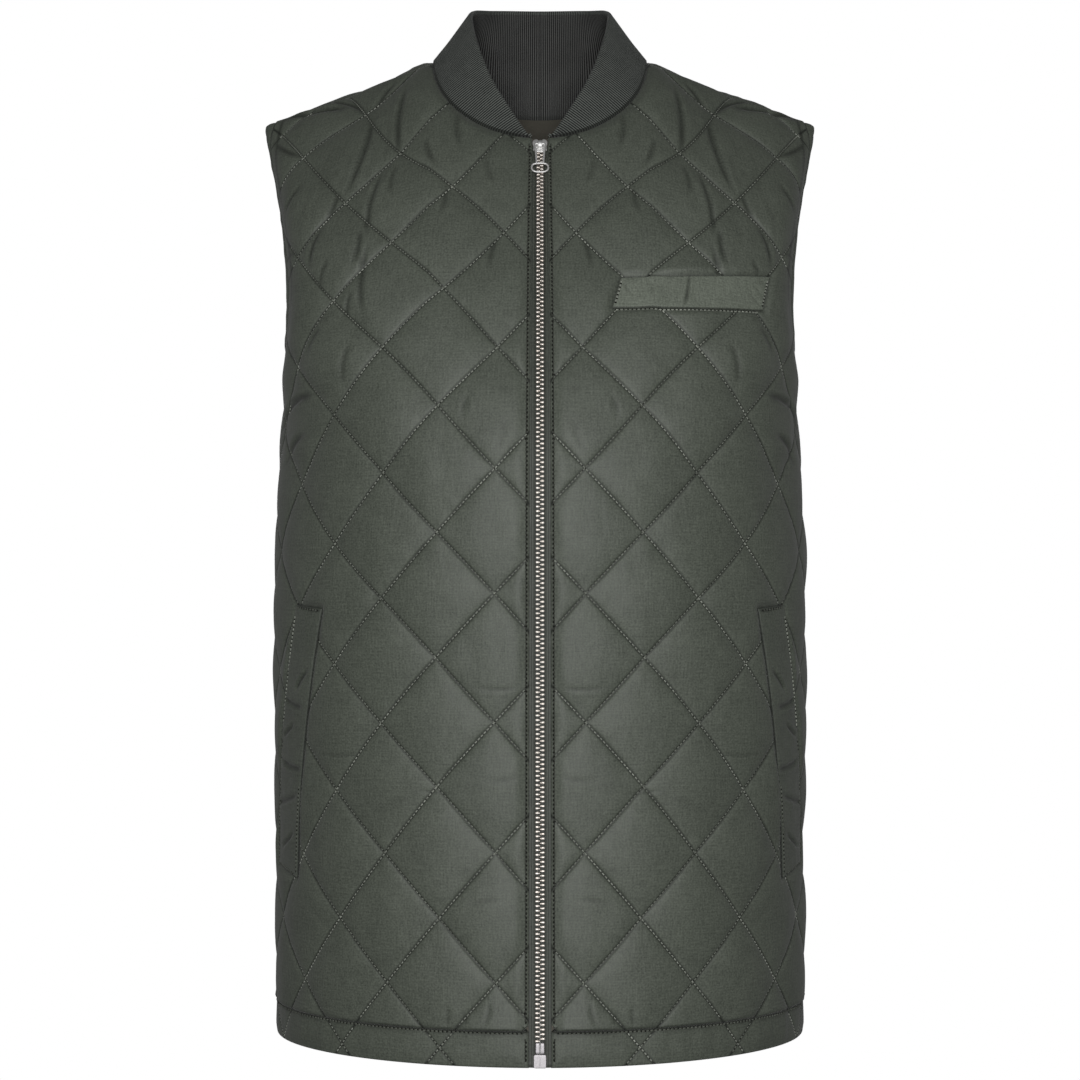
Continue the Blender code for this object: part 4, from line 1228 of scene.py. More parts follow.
def shell_fabric(name, dark, light, quilted=False):
    """The slubbed shell cloth, with painted shade in its creases and seams and along the quilting."""
    surface = Surface(name, SHELL_ROUGHNESS, SHELL_SHEEN, SHELL_GLOSS)
    place = surface.cloth_place()
    wide = surface.noise(place, SHELL_MOTTLE)
    grain = surface.noise(place, SHELL_GRAIN)
    warp = surface.streaks(place, WARP_STREAKS, 2.0)
    weft = surface.streaks(place, WEFT_STREAKS, 2.0)
    crinkle = surface.streaks(place, CRINKLE_STREAKS, 3.0)
    tone = surface.remap(grain, *MIDDLE_RANGE)
    for streak, weight in ((warp, WARP_TONE), (weft, WEFT_TONE)):
        tone = surface.total(tone, surface.remap(streak, *MIDDLE_RANGE), weight)
    tone = surface.total(tone, wide, MOTTLE_TONE)
    colour = surface.blend(surface.remap(tone, *SHELL_TONE_RANGE), dark, light)
    # Painted shade in creases and seams, from the fold attribute
    fold = surface.node("Attribute", "Fac", attribute_name="fold")
    colour = surface.blend(surface.maths("MULTIPLY", fold, PAINTED_SHADE_DARKNESS), colour, SHADE)
    # Painted shade in the grooves along the quilting lines
    if quilted:
        near = surface.remap(quilt_gap(surface), *LINE_SHADE)
        colour = surface.blend(surface.maths("MULTIPLY", near, LINE_SHADE_DARKNESS), colour, SHADE)
    surface.paint(colour)
    ridge = surface.maths("ABSOLUTE", surface.maths("SUBTRACT", crinkle, 0.5))
    surface.emboss(surface.total(surface.total(grain, warp, WARP_HEIGHT), ridge, -CRINKLE), *SHELL_RELIEF)
    surface.roughen(grain, *CLOTH_SPREAD)
    return surface.material


def rib_knit(name, dark, light, roughness, sheen, seam_shade_darkness):
    """Ribbed knit: painted shade between the ribs, with the loops of the yarn along each, and painted shade
    at its seam.
    """
    surface = Surface(name, roughness, sheen, KNIT_GLOSS)
    place = surface.cloth_place()
    # The rib waves also paint shade in the hollows between the ribs
    rib = surface.waves(place, RIB_PITCH, "X", phase=math.pi)
    loops = surface.waves(place, YARN_LOOP, "Y", LOOP_DISTORTION)
    fuzz = surface.noise(place, KNIT_FUZZ)
    wide = surface.noise(place, KNIT_MOTTLE, 2.0)
    tone = surface.total(surface.total(rib, fuzz, FUZZ_TONE), wide, KNIT_MOTTLE_TONE)
    tone = surface.remap(surface.total(tone, loops, LOOP_TONE), *KNIT_TONE_RANGE)
    # Painted shade along the collar's seam
    seam = surface.maths("MULTIPLY", surface.remap(surface.split(place, "Y"), *KNIT_SEAM_SHADE), seam_shade_darkness)
    surface.paint(surface.blend(seam, surface.blend(tone, dark, light), SHADE))
    surface.emboss(surface.total(loops, fuzz, FUZZ_HEIGHT), *KNIT_RELIEF)
    return surface.material


def metal(name, colour, tarnish, roughness):
    """Polished metal with faint scratches and darker spots."""
    surface = Surface(name, roughness, 0.0, METAL_GLOSS, 1.0)
    place = surface.own_place()
    spots = surface.noise(place, METAL_SPOTS, 4.0)
    scratches = surface.noise(place, METAL_SCRATCHES, 2.0)
    surface.paint(surface.blend(surface.remap(spots, *SPOT_RANGE), colour, tarnish))
    surface.roughen(scratches, *METAL_SPREAD)
    return surface.material


def sewing_thread(name, dark, light, roughness, sheen):
    return fabric(name, dark, light, roughness, sheen, THREAD_TWIST, THREAD_DEPTH)


SHELL = shell_fabric("shell_cloth", (0.046, 0.053, 0.042), (0.122, 0.137, 0.110), True)
# Copies of the shell cloth: a lighter one for the chest welt, painted light, and a slightly darker one for
# the side welts, painted shade
LIT_WELT_CLOTH = shell_fabric("welt_cloth", (0.073, 0.083, 0.066), (0.188, 0.211, 0.170))
SHADED_SIDE_WELT_CLOTH = shell_fabric("side_welt_cloth_shaded", (0.044, 0.051, 0.040), (0.116, 0.131, 0.105))
BAND_CLOTH = shell_fabric("band_cloth", (0.044, 0.051, 0.040), (0.104, 0.117, 0.094))
LINING = fabric(
    "lining_cloth", (0.066, 0.062, 0.049), (0.092, 0.086, 0.069), 0.55, 0.10, LINING_WEAVE, LINING_DEPTH,
    Surface.cloth_place,
)
KNIT = rib_knit("rib_knit", (0.004, 0.005, 0.005), (0.146, 0.157, 0.144), 0.88, 0.10, PAINTED_SHADE_DARKNESS)
# A darker copy of the knit for the collar's inner face: painted shade
SHADED_KNIT_INSIDE = rib_knit("rib_knit_inside_shaded", (0.006, 0.006, 0.006), (0.100, 0.102, 0.098), 0.90, 0.05, 0.25)
TAPE = shell_fabric("zip_tape", (0.038, 0.043, 0.035), (0.096, 0.107, 0.088))
# Copies of one sewing thread in four tones, by how the light falls on it: the lit one is a painted
# highlight, the other three painted shade
LIT_THREAD = sewing_thread("thread", (0.085, 0.093, 0.077), (0.360, 0.382, 0.328), 0.50, 0.10)
SHADE_THREAD = sewing_thread("shade_thread", (0.060, 0.066, 0.054), (0.230, 0.246, 0.208), 0.55, 0.05)
DEEPER_SHADE_THREAD = sewing_thread("deeper_shade_thread", (0.045, 0.050, 0.040), (0.130, 0.140, 0.117), 0.55, 0.05)
DEEPEST_SHADE_THREAD = sewing_thread("deepest_shade_thread", (0.026, 0.029, 0.023), (0.060, 0.065, 0.052), 0.60, 0.05)
# Near-black discs between the stitches: painted shade in the dips of the needle holes
HOLE_SHADE = sewing_thread("needle_hole_shade", (0.006, 0.007, 0.005), (0.012, 0.013, 0.010), 0.90, 0.0)
BRASS = metal("brass_teeth", (1.0, 0.96, 0.91), (0.90, 0.80, 0.71), 0.50)
NICKEL = metal("nickel", (0.95, 0.95, 0.94), (0.78, 0.77, 0.76), 0.60)
# A darker copy of the nickel for the zip's box and pins: painted shade that tones down the key light's
# reflection
SHADED_NICKEL = metal("nickel_shaded", (0.62, 0.60, 0.615), (0.47, 0.455, 0.465), 0.60)


# Panels


class Welt:
    """A pocket welt's place on a front: its edges are seen as set by its corners in the front view."""

    def __init__(self, corners, bow):
        corners = np.array(corners)
        shares = np.linspace(0, 1, WELT_KNOTS)
        self.table = np.zeros((WELT_KNOTS, WELT_KNOTS, 2))
        for i, u in enumerate(shares):
            for j, v in enumerate(shares):
                low = (1 - u) * corners[0] + u * corners[1]
                high = (1 - u) * corners[3] + u * corners[2]
                x, z = (1 - v) * low + v * high
                self.table[i, j] = FRONT.cloth_at(x + bow * 4 * v * (1 - v), z)
        self.length = np.linalg.norm(self.table[-1, :] - self.table[0, :], axis=1).mean()
        self.width = np.linalg.norm(self.table[:, -1] - self.table[:, 0], axis=1).mean()
        low, high = np.zeros(WELT_KNOTS), np.ones(WELT_KNOTS)
        u = np.concatenate((shares, high, shares[::-1], low))
        v = np.concatenate((low, shares, high, shares[::-1]))
        self.outline = self.cloth(u, v)

    def cloth(self, u, v):
        """Cloth points at shares along and up the welt."""
        return read_grid(self.table, u * (WELT_KNOTS - 1), v * (WELT_KNOTS - 1))

    def line(self, edge, inset, part):
        """Cloth points along the low (0), far (1), high (2) or near (3) edge, inset from it."""
        along = np.linspace(*part, WELT_LINE_STATIONS)
        if edge in (0, 2):
            across = np.full_like(along, inset / self.width)
            return self.cloth(along, across if edge == 0 else 1 - across)
        across = np.full_like(along, inset / self.length)
        return self.cloth(across if edge == 3 else 1 - across, along)


CHEST_PATCH = Welt(CHEST_WELT, 0.0)
SIDE_PATCH = Welt(SIDE_WELT, SIDE_WELT_BOW)
FRONT_QUILTING = Quilting(QUILT_FIRST_COLUMN, QUILT_SHIFTS)
RIGHT_FLATS = [SIDE_PATCH.outline]
LEFT_FLATS = [SIDE_PATCH.outline, CHEST_PATCH.outline]
FRONT_PANELS = {
    "right": Panel(FRONT, RIGHT, FRONT_QUILTING, FRONT_CREASES, RIGHT_FLATS, SEEDS["right"]),
    "left": Panel(FRONT, LEFT, FRONT_QUILTING, FRONT_CREASES, LEFT_FLATS, SEEDS["left"]),
}
BACK_QUILTING = Quilting(0.0, QUILT_SHIFTS[:0])
BACK_PANEL = Panel(BACK, LEFT, BACK_QUILTING, BACK_CREASES, [], SEEDS["back"])


def make_lining(name, panel, outline):
    flat, faces = quilt_fill(outline, panel.quilting, LINING_STEPS, LINING_INSET)
    gap = edge_nearest(flat, outline)[0]
    dome = dome_height(panel.quilting.cells(flat)[1])
    out = -LINING_PUFF * dome * smooth_step((gap - EDGE_FLAT) / EDGE_FLAT)
    points = panel.place(flat, out)
    return add_piece(name, points, faces, LINING, "shell_cloth", cloth=flat, outward=-panel.normal(flat))


def make_seam_strip(name, hand, lines):
    """A strip of lining cloth inside a seam, through lines on the front, the seam and the back."""
    rows = [shape.place(across * hand, up, -STRIP_DEPTH) for shape, across, up in lines]
    points = np.stack(rows, axis=1).reshape(-1, 3)
    faces = grid_faces(len(rows[0]), len(rows))
    add_piece(name, points, faces, LINING, "shell_cloth", cloth=np.zeros((len(points), 2)))


def make_seam_strips():
    low = FRONT.grid[0, -1, 2] + STRIP_END
    height = np.linspace(low, ARMHOLE_BOTTOM_HEIGHT - STRIP_END, STRIP_STATIONS)
    near = FRONT_NECK[0, 0] + STRIP_END
    across = np.linspace(near, FRONT_ARMHOLE[-1, 0] - STRIP_END, STRIP_STATIONS)
    side = []
    shoulder = []
    for shape, width in ((FRONT, STRIP_WIDTH), (FRONT, 0.0), (BACK, STRIP_WIDTH)):
        up = np.interp(height, shape.grid[:, -1, 2], shape.heights)
        side.append((shape, np.full_like(up, PANEL_WIDTH - width), up))
        shoulder.append((shape, across, np.full_like(across, shape.top - width)))
    for name, hand in HANDS:
        make_seam_strip(f"side_seam_strip_{name}", hand, side)
        make_seam_strip(f"shoulder_seam_strip_{name}", hand, shoulder)


def seam_shade(panel, cloth):
    """How much painted shade lies on the points of a panel, from 0 to 1: at its neck and armhole seams,
    along a line inside the armhole, round what lies flat on it and at the hem seam.
    """
    neck = edge_nearest(one_side(cloth), panel.neck)[0]
    armhole = panel.armhole_gap(cloth)
    gaps = [neck / SEAM_SHADE, armhole / SEAM_SHADE, np.abs(armhole - ARMHOLE_ROW) / ARMHOLE_SHADE]
    gaps += [patch_distance(cloth, corners) / SEAM_SHADE for corners in panel.flats]
    shade = np.exp(-np.min(gaps, axis=0) ** 2)
    shares = panel.quilting.cells(cloth)[1]
    full = HEM_SHADE_LEFT + (1 - HEM_SHADE_LEFT) * np.sqrt(np.minimum(*shares))
    below = np.exp(-(((cloth[:, 1] - HEM_DEPTH) / HEM_SHADE) ** 2))
    return np.maximum(shade, full * below)


def make_panel(node, panel, outline, hem, steps):
    groups = [panel_mesh(panel, outline, steps, False), panel_mesh(panel, hem, steps, True)]
    points, cloth, faces = joined(groups)
    # Painted shade in the panel's creases and seams, as the fold attribute
    fold = np.maximum(crease_shade(cloth, panel.creases), seam_shade(panel, cloth))
    shell = add_piece(
        f"{node}_shell", points, faces, SHELL, "shell_cloth", node, outward=panel.normal(cloth),
        cloth=cloth, quilt=np.stack(panel.quilting.lines(cloth), axis=1), fold=fold,
    )
    whole = whole_outline(outline, False)
    lining = make_lining(f"{node}_lining", panel, whole)


# Sewing


def make_stitches(name, groups, hole, material):
    """Raised threads, each after a near-black disc of painted shade at its needle hole, from groups of
    starts, ends and directions out.
    """
    starts, ends, outs = (np.concatenate(group) for group in zip(*groups))
    along = ends - starts
    side = np.cross(along, outs)
    side /= np.linalg.norm(side, axis=1)[:, None]
    rings = []
    for share, width, height in THREAD_RINGS:
        for angle in THREAD_ANGLES:
            beside = STITCH_RADIUS * width * math.sin(angle)
            lift = STITCH_RADIUS * (width * math.cos(angle) + height)
            rings.append(starts + along * share + side * beside + outs * lift)
    unit = along / np.linalg.norm(along, axis=1)[:, None]
    centre = starts - unit * (STITCH_PITCH - STITCH_LENGTH) / 2 - outs * (STITCH_LIFT - HOLE_LIFT)
    turns = 2 * math.pi * np.arange(STITCH_SIDES) / STITCH_SIDES
    discs = [centre + hole * (unit * math.cos(t) + side * math.sin(t)) for t in turns]
    thread_faces = grid_faces(len(THREAD_RINGS), len(THREAD_ANGLES))
    hole_faces = [range(STITCH_SIDES)]
    for piece, rows, template, cover in (
        (name, rings, thread_faces, material),
        (f"{name}_hole_shade", discs, hole_faces, HOLE_SHADE),
    ):
        count = len(rows)
        points = np.stack(rows, axis=1).reshape(-1, 3)
        faces = [[v + k * count for v in face] for k in range(len(starts)) for face in template]
        add_piece(piece, points, faces, cover, "shell_cloth", outward=np.repeat(outs, count, axis=0))


def quilt_stitches(panel, outlines, fixed):
    """Cloth points of the starts and ends of the stitches along the rising (0) or falling (1) lines."""
    every = np.concatenate(outlines)
    limits = panel.quilting.number_ranges(every.min(axis=0), every.max(axis=0))
    starts = []
    ends = []
    low, high = limits[1 - fixed]
    along = np.arange(low, high, STITCH_PITCH / LINE_LENGTH)
    for line in range(limits[fixed][0], limits[fixed][1] + 1):
        for found, shift in ((starts, 0.0), (ends, STITCH_LENGTH / LINE_LENGTH)):
            pair = [np.full_like(along, line), along + shift]
            found.append(panel.quilting.points(pair[fixed], pair[1 - fixed]))
    return np.concatenate(starts), np.concatenate(ends)


def clear_stitches(panel, starts, ends, outline, margin):
    """Which stitches lie inside an outline and off what lies on the panel."""
    middle = (starts + ends) / 2
    keep = inside_outline(middle, outline)
    keep[keep] = edge_nearest(middle[keep], outline)[0] > margin
    keep[keep] = panel.armhole_gap(middle[keep]) > ARMHOLE_ROW + margin
    for corners in panel.flats:
        keep[keep] = patch_distance(middle[keep], corners) > STITCH_MARGIN
    return keep


def place_stitches(panel, starts, ends, outline, hem, height):
    """Stitches in space, on a panel's outer face, or at a height out if no outline is given."""
    spots = []
    for cloth in (starts, ends):
        out = height if outline is None else panel.relief(cloth, outline, hem)
        spots.append(panel.place(cloth, out + STITCH_LIFT))
    return *spots, panel.normal(starts)


def sew_panel(name, panel, outlines):
    """The quilting of a panel and its hem."""
    # The rising lines take a shaded copy of the thread and the falling lines the lit copy: painted shade
    # and painted highlight
    for fixed, way, material in ((0, "rising", SHADE_THREAD), (1, "falling", LIT_THREAD)):
        starts, ends = quilt_stitches(panel, outlines, fixed)
        groups = []
        for outline, hem in zip(outlines, (False, True)):
            clear = clear_stitches(panel, starts, ends, outline, 2 * STITCH_MARGIN)
            groups.append(place_stitches(panel, starts[clear], ends[clear], outline, hem, None))
        make_stitches(f"{name}_{way}_quilting", groups, HOLE_RADIUS, material)


def sew_rows(name, panel, rows, material, hole=HOLE_RADIUS):
    """Rows of stitches on a panel. Each has its line of cloth points, then what place_stitches asks for."""
    groups = []
    for line, *height in rows:
        along = distances_along(line)
        marks = np.arange(STITCH_PITCH, along[-1] - STITCH_PITCH, STITCH_PITCH)
        starts, ends = (read_curve(m, along, line) for m in (marks, marks + STITCH_LENGTH))
        groups.append(place_stitches(panel, starts, ends, *height))
    make_stitches(name, groups, hole, material)


# Pocket welts


def edge_steps(length, step):
    """Distances along a length, close together at both ends."""
    last = EDGE_STEPS[-1]
    count = max(int((length - 2 * last) / step), 2)
    middle = np.linspace(last, length - last, count + 1)[1:-1]
    return np.concatenate((EDGE_STEPS, middle, [length - v for v in reversed(EDGE_STEPS)]))


def add_strip(name, cloth, rows, hand, heights, material, slot, node, fold):
    """A closed strip of cloth on a front, between two heights out, from rows of cloth points."""
    count = len(cloth)
    number = np.arange(count).reshape(rows, -1)
    border = np.concatenate((number[:, 0], number[-1, 1:], number[-2::-1, -1], number[0, -2:0:-1]))
    faces = grid_faces(*number.shape)
    faces += [face[::-1] for face in grid_faces(*number.shape, count)]
    for a, b in zip(border.tolist(), np.roll(border, -1).tolist()):
        faces.append((b, a, a + count, b + count))
    across = cloth[:, 0] * hand
    points = [FRONT.place(across, cloth[:, 1], height) for height in reversed(heights)]
    normal = FRONT.normal(across, cloth[:, 1])
    return add_piece(
        name, np.concatenate(points), faces, material, slot, node,
        outward=np.concatenate((normal, -normal)), cloth=np.tile(cloth, (2, 1)), fold=np.tile(fold, 2),
    )


def make_welt(node, hand, welt, wrinkles, seed, cover):
    """A folded strip with rounded edges and its own creases, sewn down on a front."""
    u = edge_steps(welt.length, WELT_STEP) / welt.length
    v = edge_steps(welt.width, WELT_STEP) / welt.width
    cloth = welt.cloth(*(grid.ravel() for grid in np.meshgrid(u, v, indexing="ij")))
    gap = edge_nearest(cloth, welt.outline)[0]
    rim = 1 - np.clip(gap / WELT_ROUND, 0, 1)
    soft = cloth_noise(cloth, WELT_WAVE_SIZE, seed)
    soft += FINE_WELT_WAVE * cloth_noise(cloth, FINE_WELT_WAVE_SIZE, seed + 2)
    relief = WELT_WAVE * soft + crease_height(cloth, wrinkles)
    out = WELT_THICKNESS * np.sqrt(np.maximum(1 - rim**2, 0)) + relief * np.clip(gap / WELT_FADE, 0, 1)
    low = STITCHED_THICKNESS + SEAM_GAP
    heights = (low, low + np.maximum(out, WELT_THINNEST))
    # Painted shade in the welt's creases and along its rim
    fold = np.maximum(crease_shade(cloth, wrinkles), np.exp(-((gap / WELT_SHADE) ** 2)))
    item = add_strip(f"{node}_cloth", cloth, len(u), hand, heights, cover, "shell_cloth", node, fold)


# Bindings
def beyond_edge(curve):
    """Directions in the cloth's plane that leave the panel at each point of its edge."""
    run = np.gradient(curve, axis=0)
    beyond = np.stack((run[:, 1], -run[:, 0]), axis=1)
    return beyond / np.linalg.norm(beyond, axis=1)[:, None]


def binding_rings(shape, curve, hand, seed):
    """Rings of the folded strip along a panel's armhole edge."""
    beyond = beyond_edge(curve)
    beyond[0] = (0, 1)
    beyond[-1] = (1, 0)
    along = distances_along(curve)
    fade = np.clip(np.minimum(along, along[-1] - along) / BINDING_RIPPLE_FADE, 0, 1)
    ripple = fade * noise(along / BINDING_RIPPLE_SIZE, np.full_like(along, 0.5), seed)
    thin = BINDING_TIP + (1 - BINDING_TIP) * smooth_step((along[-1] - along) / BINDING_TIP_LENGTH)
    rings = []
    for reach, out in BINDING_PROFILE:
        points = curve + beyond * reach * BINDING_WIDTH
        height = out * BINDING_THICKNESS * (1 + BINDING_RIPPLE * ripple) * thin
        rings.append(shape.place(points[:, 0] * hand, points[:, 1], height))
    return np.stack(rings, axis=1)


def make_binding(name, hand, seed):
    front = binding_rings(FRONT, FRONT_ARMHOLE, hand, seed)
    back = binding_rings(BACK, BACK_ARMHOLE, hand, seed + 4)
    rings = np.concatenate((front, back[-2:0:-1], front[:1]))
    stations, around = rings.shape[:2]
    middle = rings.mean(axis=1, keepdims=True)
    along = distances_along(middle[:, 0])
    reaches = np.array([reach for reach, _ in BINDING_PROFILE])
    cloth = np.stack(
        [part.ravel() for part in np.meshgrid(along, reaches * BINDING_WIDTH, indexing="ij")], axis=1
    )
    # The binding's seam side is painted dark: painted shade in its seam
    item = add_piece(
        f"armhole_binding_{name}_band", rings.reshape(-1, 3), grid_faces(stations, around, wrap=True),
        BAND_CLOTH, "shell_cloth", f"armhole_binding_{name}", outward=(rings - middle).reshape(-1, 3),
        cloth=cloth, fold=np.tile((reaches < BINDING_SEAM).astype(float), stations),
    )


# The collar
def neck_seam():
    """Base points and outward directions of half the collar, from the zip to the centre back."""
    points = []
    directions = []
    for shape, curve in ((FRONT, FRONT_NECK), (BACK, BACK_NECK)):
        base = curve + beyond_edge(curve) * COLLAR_GAP
        base[:, 1] = np.minimum(base[:, 1], shape.top)
        points.append(shape.surface(base[:, 0], base[:, 1]))
        directions.append(shape.normal(base[:, 0], base[:, 1]))
    base = np.concatenate((points[0][::-1], points[1][1:]))
    outward = np.concatenate((directions[0][::-1], directions[1][1:]))
    return base, outward


def rib_feet(share, top, base_share, base):
    """Where along the neck seam the rib from each point of the top edge ends, square to that edge."""
    along = np.gradient(top, axis=0)
    along /= np.linalg.norm(along, axis=1)[:, None]
    fine = np.linspace(0, 1, FOOT_SAMPLES)
    spots = read_curve(fine, base_share, base)
    miss = np.abs(np.einsum("ik,ijk->ij", along, spots[None] - top[:, None]))
    near = np.abs(fine[None] - share[:, None]) < FOOT_REACH
    foot = fine[np.argmin(np.where(near, miss, np.inf), axis=1)]
    ease = smooth_step((1 - share) / BACK_EASE)
    window = np.ones(FOOT_SMOOTHING) / FOOT_SMOOTHING
    padded = np.pad((foot - share) * ease, FOOT_SMOOTHING // 2, mode="reflect", reflect_type="odd")
    foot = share + np.convolve(padded, window, mode="valid")[:len(share)] * ease
    return np.maximum.accumulate(np.clip(foot, 0, 1))


def collar_section():
    """Outer face from seam to top, over the fold, then the inner face: share up, depth out, rib."""
    rise = COLLAR_CREST * np.linspace(0, 1, COLLAR_ROWS) ** COLLAR_ROW_POWER
    outer = [(float(v), 1.0, 1.0) for v in rise]
    fold = []
    for turn in COLLAR_FOLD_TURNS:
        angle = math.radians(turn)
        lean = math.cos(angle)
        fold.append((COLLAR_CREST + (1 - COLLAR_CREST) * math.sin(angle), 0.5 + 0.5 * lean, lean))
    inner = [(float(v), 0.0, -1.0) for v in reversed(rise)]
    return [*COLLAR_TUCK, *outer, *fold, *inner, *COLLAR_TUCK]


def collar_edges():
    """The collar's seam points, directions out there, top points, rib numbers and flat length."""
    base, outward = neck_seam()
    base_along = distances_along(base)
    base_share = base_along / base_along[-1]
    fine = np.linspace(0, 1, COLLAR_EDGE_SAMPLES)
    edge = np.stack([smooth_table(fine, COLLAR_TOP[:, 0], COLLAR_TOP[:, k]) for k in (1, 2, 3)], axis=1)
    along = distances_along(edge)
    ribs = round(along[-1] / RIB_PITCH)
    phase = np.arange(ribs * RIB_STEPS + 1) / RIB_STEPS
    share = np.interp(phase * along[-1] / ribs, along, fine)
    top = read_curve(share, fine, edge)
    foot = rib_feet(share, top, base_share, base)
    halves = (read_curve(foot, base_share, base), read_curve(foot, base_share, outward), top)
    mirror = np.array((-1, 1, 1))
    whole = [np.concatenate((half[:-1] * mirror, half[::-1])) for half in halves]
    return *whole, np.concatenate((phase[:-1], phase[::-1])), float(2 * base_along[-1])


def make_collar():
    start, first, top, phase, length = collar_edges()
    last = np.cross(np.gradient(top, axis=0), top - start)
    last = last / np.maximum(np.linalg.norm(last, axis=1)[:, None], TINY)
    last *= np.sign(np.sum(last * first, axis=1))[:, None]
    tall = np.linalg.norm(top - start, axis=1)
    body = TIP_LEFT + (1 - TIP_LEFT) * smooth_step(tall / TIP_HEIGHT)
    rib = RIB_DEPTH * (np.abs(np.cos(math.pi * phase)) ** RIB_POWER - 0.5) * body
    rows = []
    cloth = []
    for part, depth, ribbed in collar_section():
        cloth.append(np.stack((phase * RIB_PITCH, tall * part), axis=1))
        out = first * (1 - part) + last * part
        out /= np.linalg.norm(out, axis=1)[:, None]
        bulge = COLLAR_BULGE * math.sin(math.pi * part) * tall / COLLAR_BULGE_HEIGHT
        height = COLLAR_THICKNESS * depth * body + rib * ribbed + bulge
        rows.append(start + (top - start) * part + out * height[:, None])
    points = np.stack(rows, axis=1)
    stations, around = points.shape[:2]
    faces = grid_faces(stations, around)
    faces.append(range(around)[::-1])
    faces.append(range((stations - 1) * around, stations * around))
    item = add_piece(
        "collar_knit", points.reshape(-1, 3), faces, (KNIT, SHADED_KNIT_INSIDE), "rib_knit", "collar",
        outward=(points - points.mean(axis=1, keepdims=True)).reshape(-1, 3),
        cloth=np.stack(cloth, axis=1).reshape(-1, 2),
    )
    # The inner face takes the darker copy of the knit: painted shade inside the collar
    inside = around - COLLAR_ROWS - len(COLLAR_TUCK)
    places = [int(min(face) % around >= inside) for face in faces]
    item.data.polygons.foreach_set("material_index", places)
    height = float(np.max(tall))


# The zip
def zip_frame(up):
    """A frame on the zip's centre line: X across, Z up along the zip, -Y out of the garment."""
    point = FRONT.surface(np.array([0.0]), np.array([up]))[0]
    out = FRONT.normal(np.array([0.0]), np.array([up]))[0]
    lean = math.atan2(out[2], -out[1])
    return Matrix.Translation(point) @ Matrix.Rotation(-lean, 4, "X")


def placed(matrix, points):
    """Points of a local frame in space."""
    points = np.asarray(points, dtype=float)
    turn = np.array(matrix.to_3x3())
    return points @ turn.T + np.array(matrix.translation)


def make_tape(name, hand, neck):
    across = edge_steps(TAPE_OUTER_EDGE - TAPE_MEETING, TAPE_STEP) + TAPE_MEETING
    up = np.linspace(0, neck, TAPE_STATIONS)
    cloth = np.stack([part.ravel() for part in np.meshgrid(across, up, indexing="ij")], axis=1)
    across_tape = cloth[:, 0]
    place, width, height = TAPE_CORD
    cord = height * np.exp(-(((across_tape - TAPE_INNER_EDGE - place) / width) ** 2))
    outer = -TAPE_GAP + cord - TAPE_DIP * smooth_step((TAPE_INNER_EDGE - across_tape) / DIP_WIDTH)
    # Painted dark on the tape: its dark lines, with a painted shadow beside the folded edge, and painted
    # shade under the teeth
    lines = [np.exp(-(((across_tape - place) / width) ** 2)) for place, width in TAPE_LINES]
    fold = np.max([*lines, (across_tape < TAPE_INNER_EDGE).astype(float)], axis=0)
    heights = (-TAPE_GAP - TAPE_THICKNESS, outer)
    node = f"zip_tape_{name}"
    item = add_strip(f"{node}_weave", cloth, len(across), hand, heights, TAPE, "zip_tape", node, fold)


def signed_power(value, power):
    return np.sign(value) * np.abs(value) ** power


def rounded_block(half, roundness, rows, around):
    """Points and faces of a block with rounded corners, about the origin."""
    power = 2 / roundness
    rise = np.linspace(-math.pi / 2, math.pi / 2, rows)
    turn = 2 * math.pi * np.arange(around) / around
    rise, turn = np.meshgrid(rise, turn, indexing="ij")
    x = half[0] * signed_power(np.cos(rise), power) * signed_power(np.cos(turn), power)
    y = half[1] * signed_power(np.cos(rise), power) * signed_power(np.sin(turn), power)
    z = half[2] * signed_power(np.sin(rise), power)
    points = np.stack([part.ravel() for part in (x, y, z)], axis=1)
    return points, grid_faces(rows, around, wrap=True)


def make_teeth(low, high):
    """The two closed rows of teeth."""
    count = int((high - low) / TOOTH_PITCH)
    middle = (CHAIN_FRONT - CHAIN_BACK) / 2
    depth = (CHAIN_FRONT + CHAIN_BACK) / 2 - TOOTH_SLACK
    blocks = []
    for hand, first in TOOTH_STARTS:
        for up in low + (np.arange(count) + first) * TOOTH_PITCH:
            matrix = zip_frame(float(up))
            width = 1 + (TOOTH_TOP_WIDTH - 1) * up / high
            for centre, half, length in TOOTH_BLOCKS:
                local, faces = rounded_block((half * width, depth, length), TOOTH_ROUNDNESS, *TOOTH_MESH)
                local = local + np.array((hand * centre * width, -middle, 0))
                blocks.append((placed(matrix, local), faces))
    close_shapes(add_piece("zip_teeth", *joined(blocks), BRASS, "brass_teeth", "zip_chain"))


def close_shapes(item):
    """Joins the doubled points of closed shapes and makes their faces look outward."""
    solid = bmesh.new()
    solid.from_mesh(item.data)
    bmesh.ops.remove_doubles(solid, verts=solid.verts, dist=SAME_POINT)
    bmesh.ops.recalc_face_normals(solid, faces=solid.faces)
    solid.to_mesh(item.data)
    solid.free()


def round_corners(points, rounds):
    """Cuts the corners of a closed line of points again and again."""
    points = np.asarray(points, dtype=float)
    for _ in range(rounds):
        after = np.roll(points, -1, axis=0)
        pairs = np.stack((0.75 * points + 0.25 * after, 0.25 * points + 0.75 * after), axis=1)
        points = pairs.reshape(-1, points.shape[1])
    return points


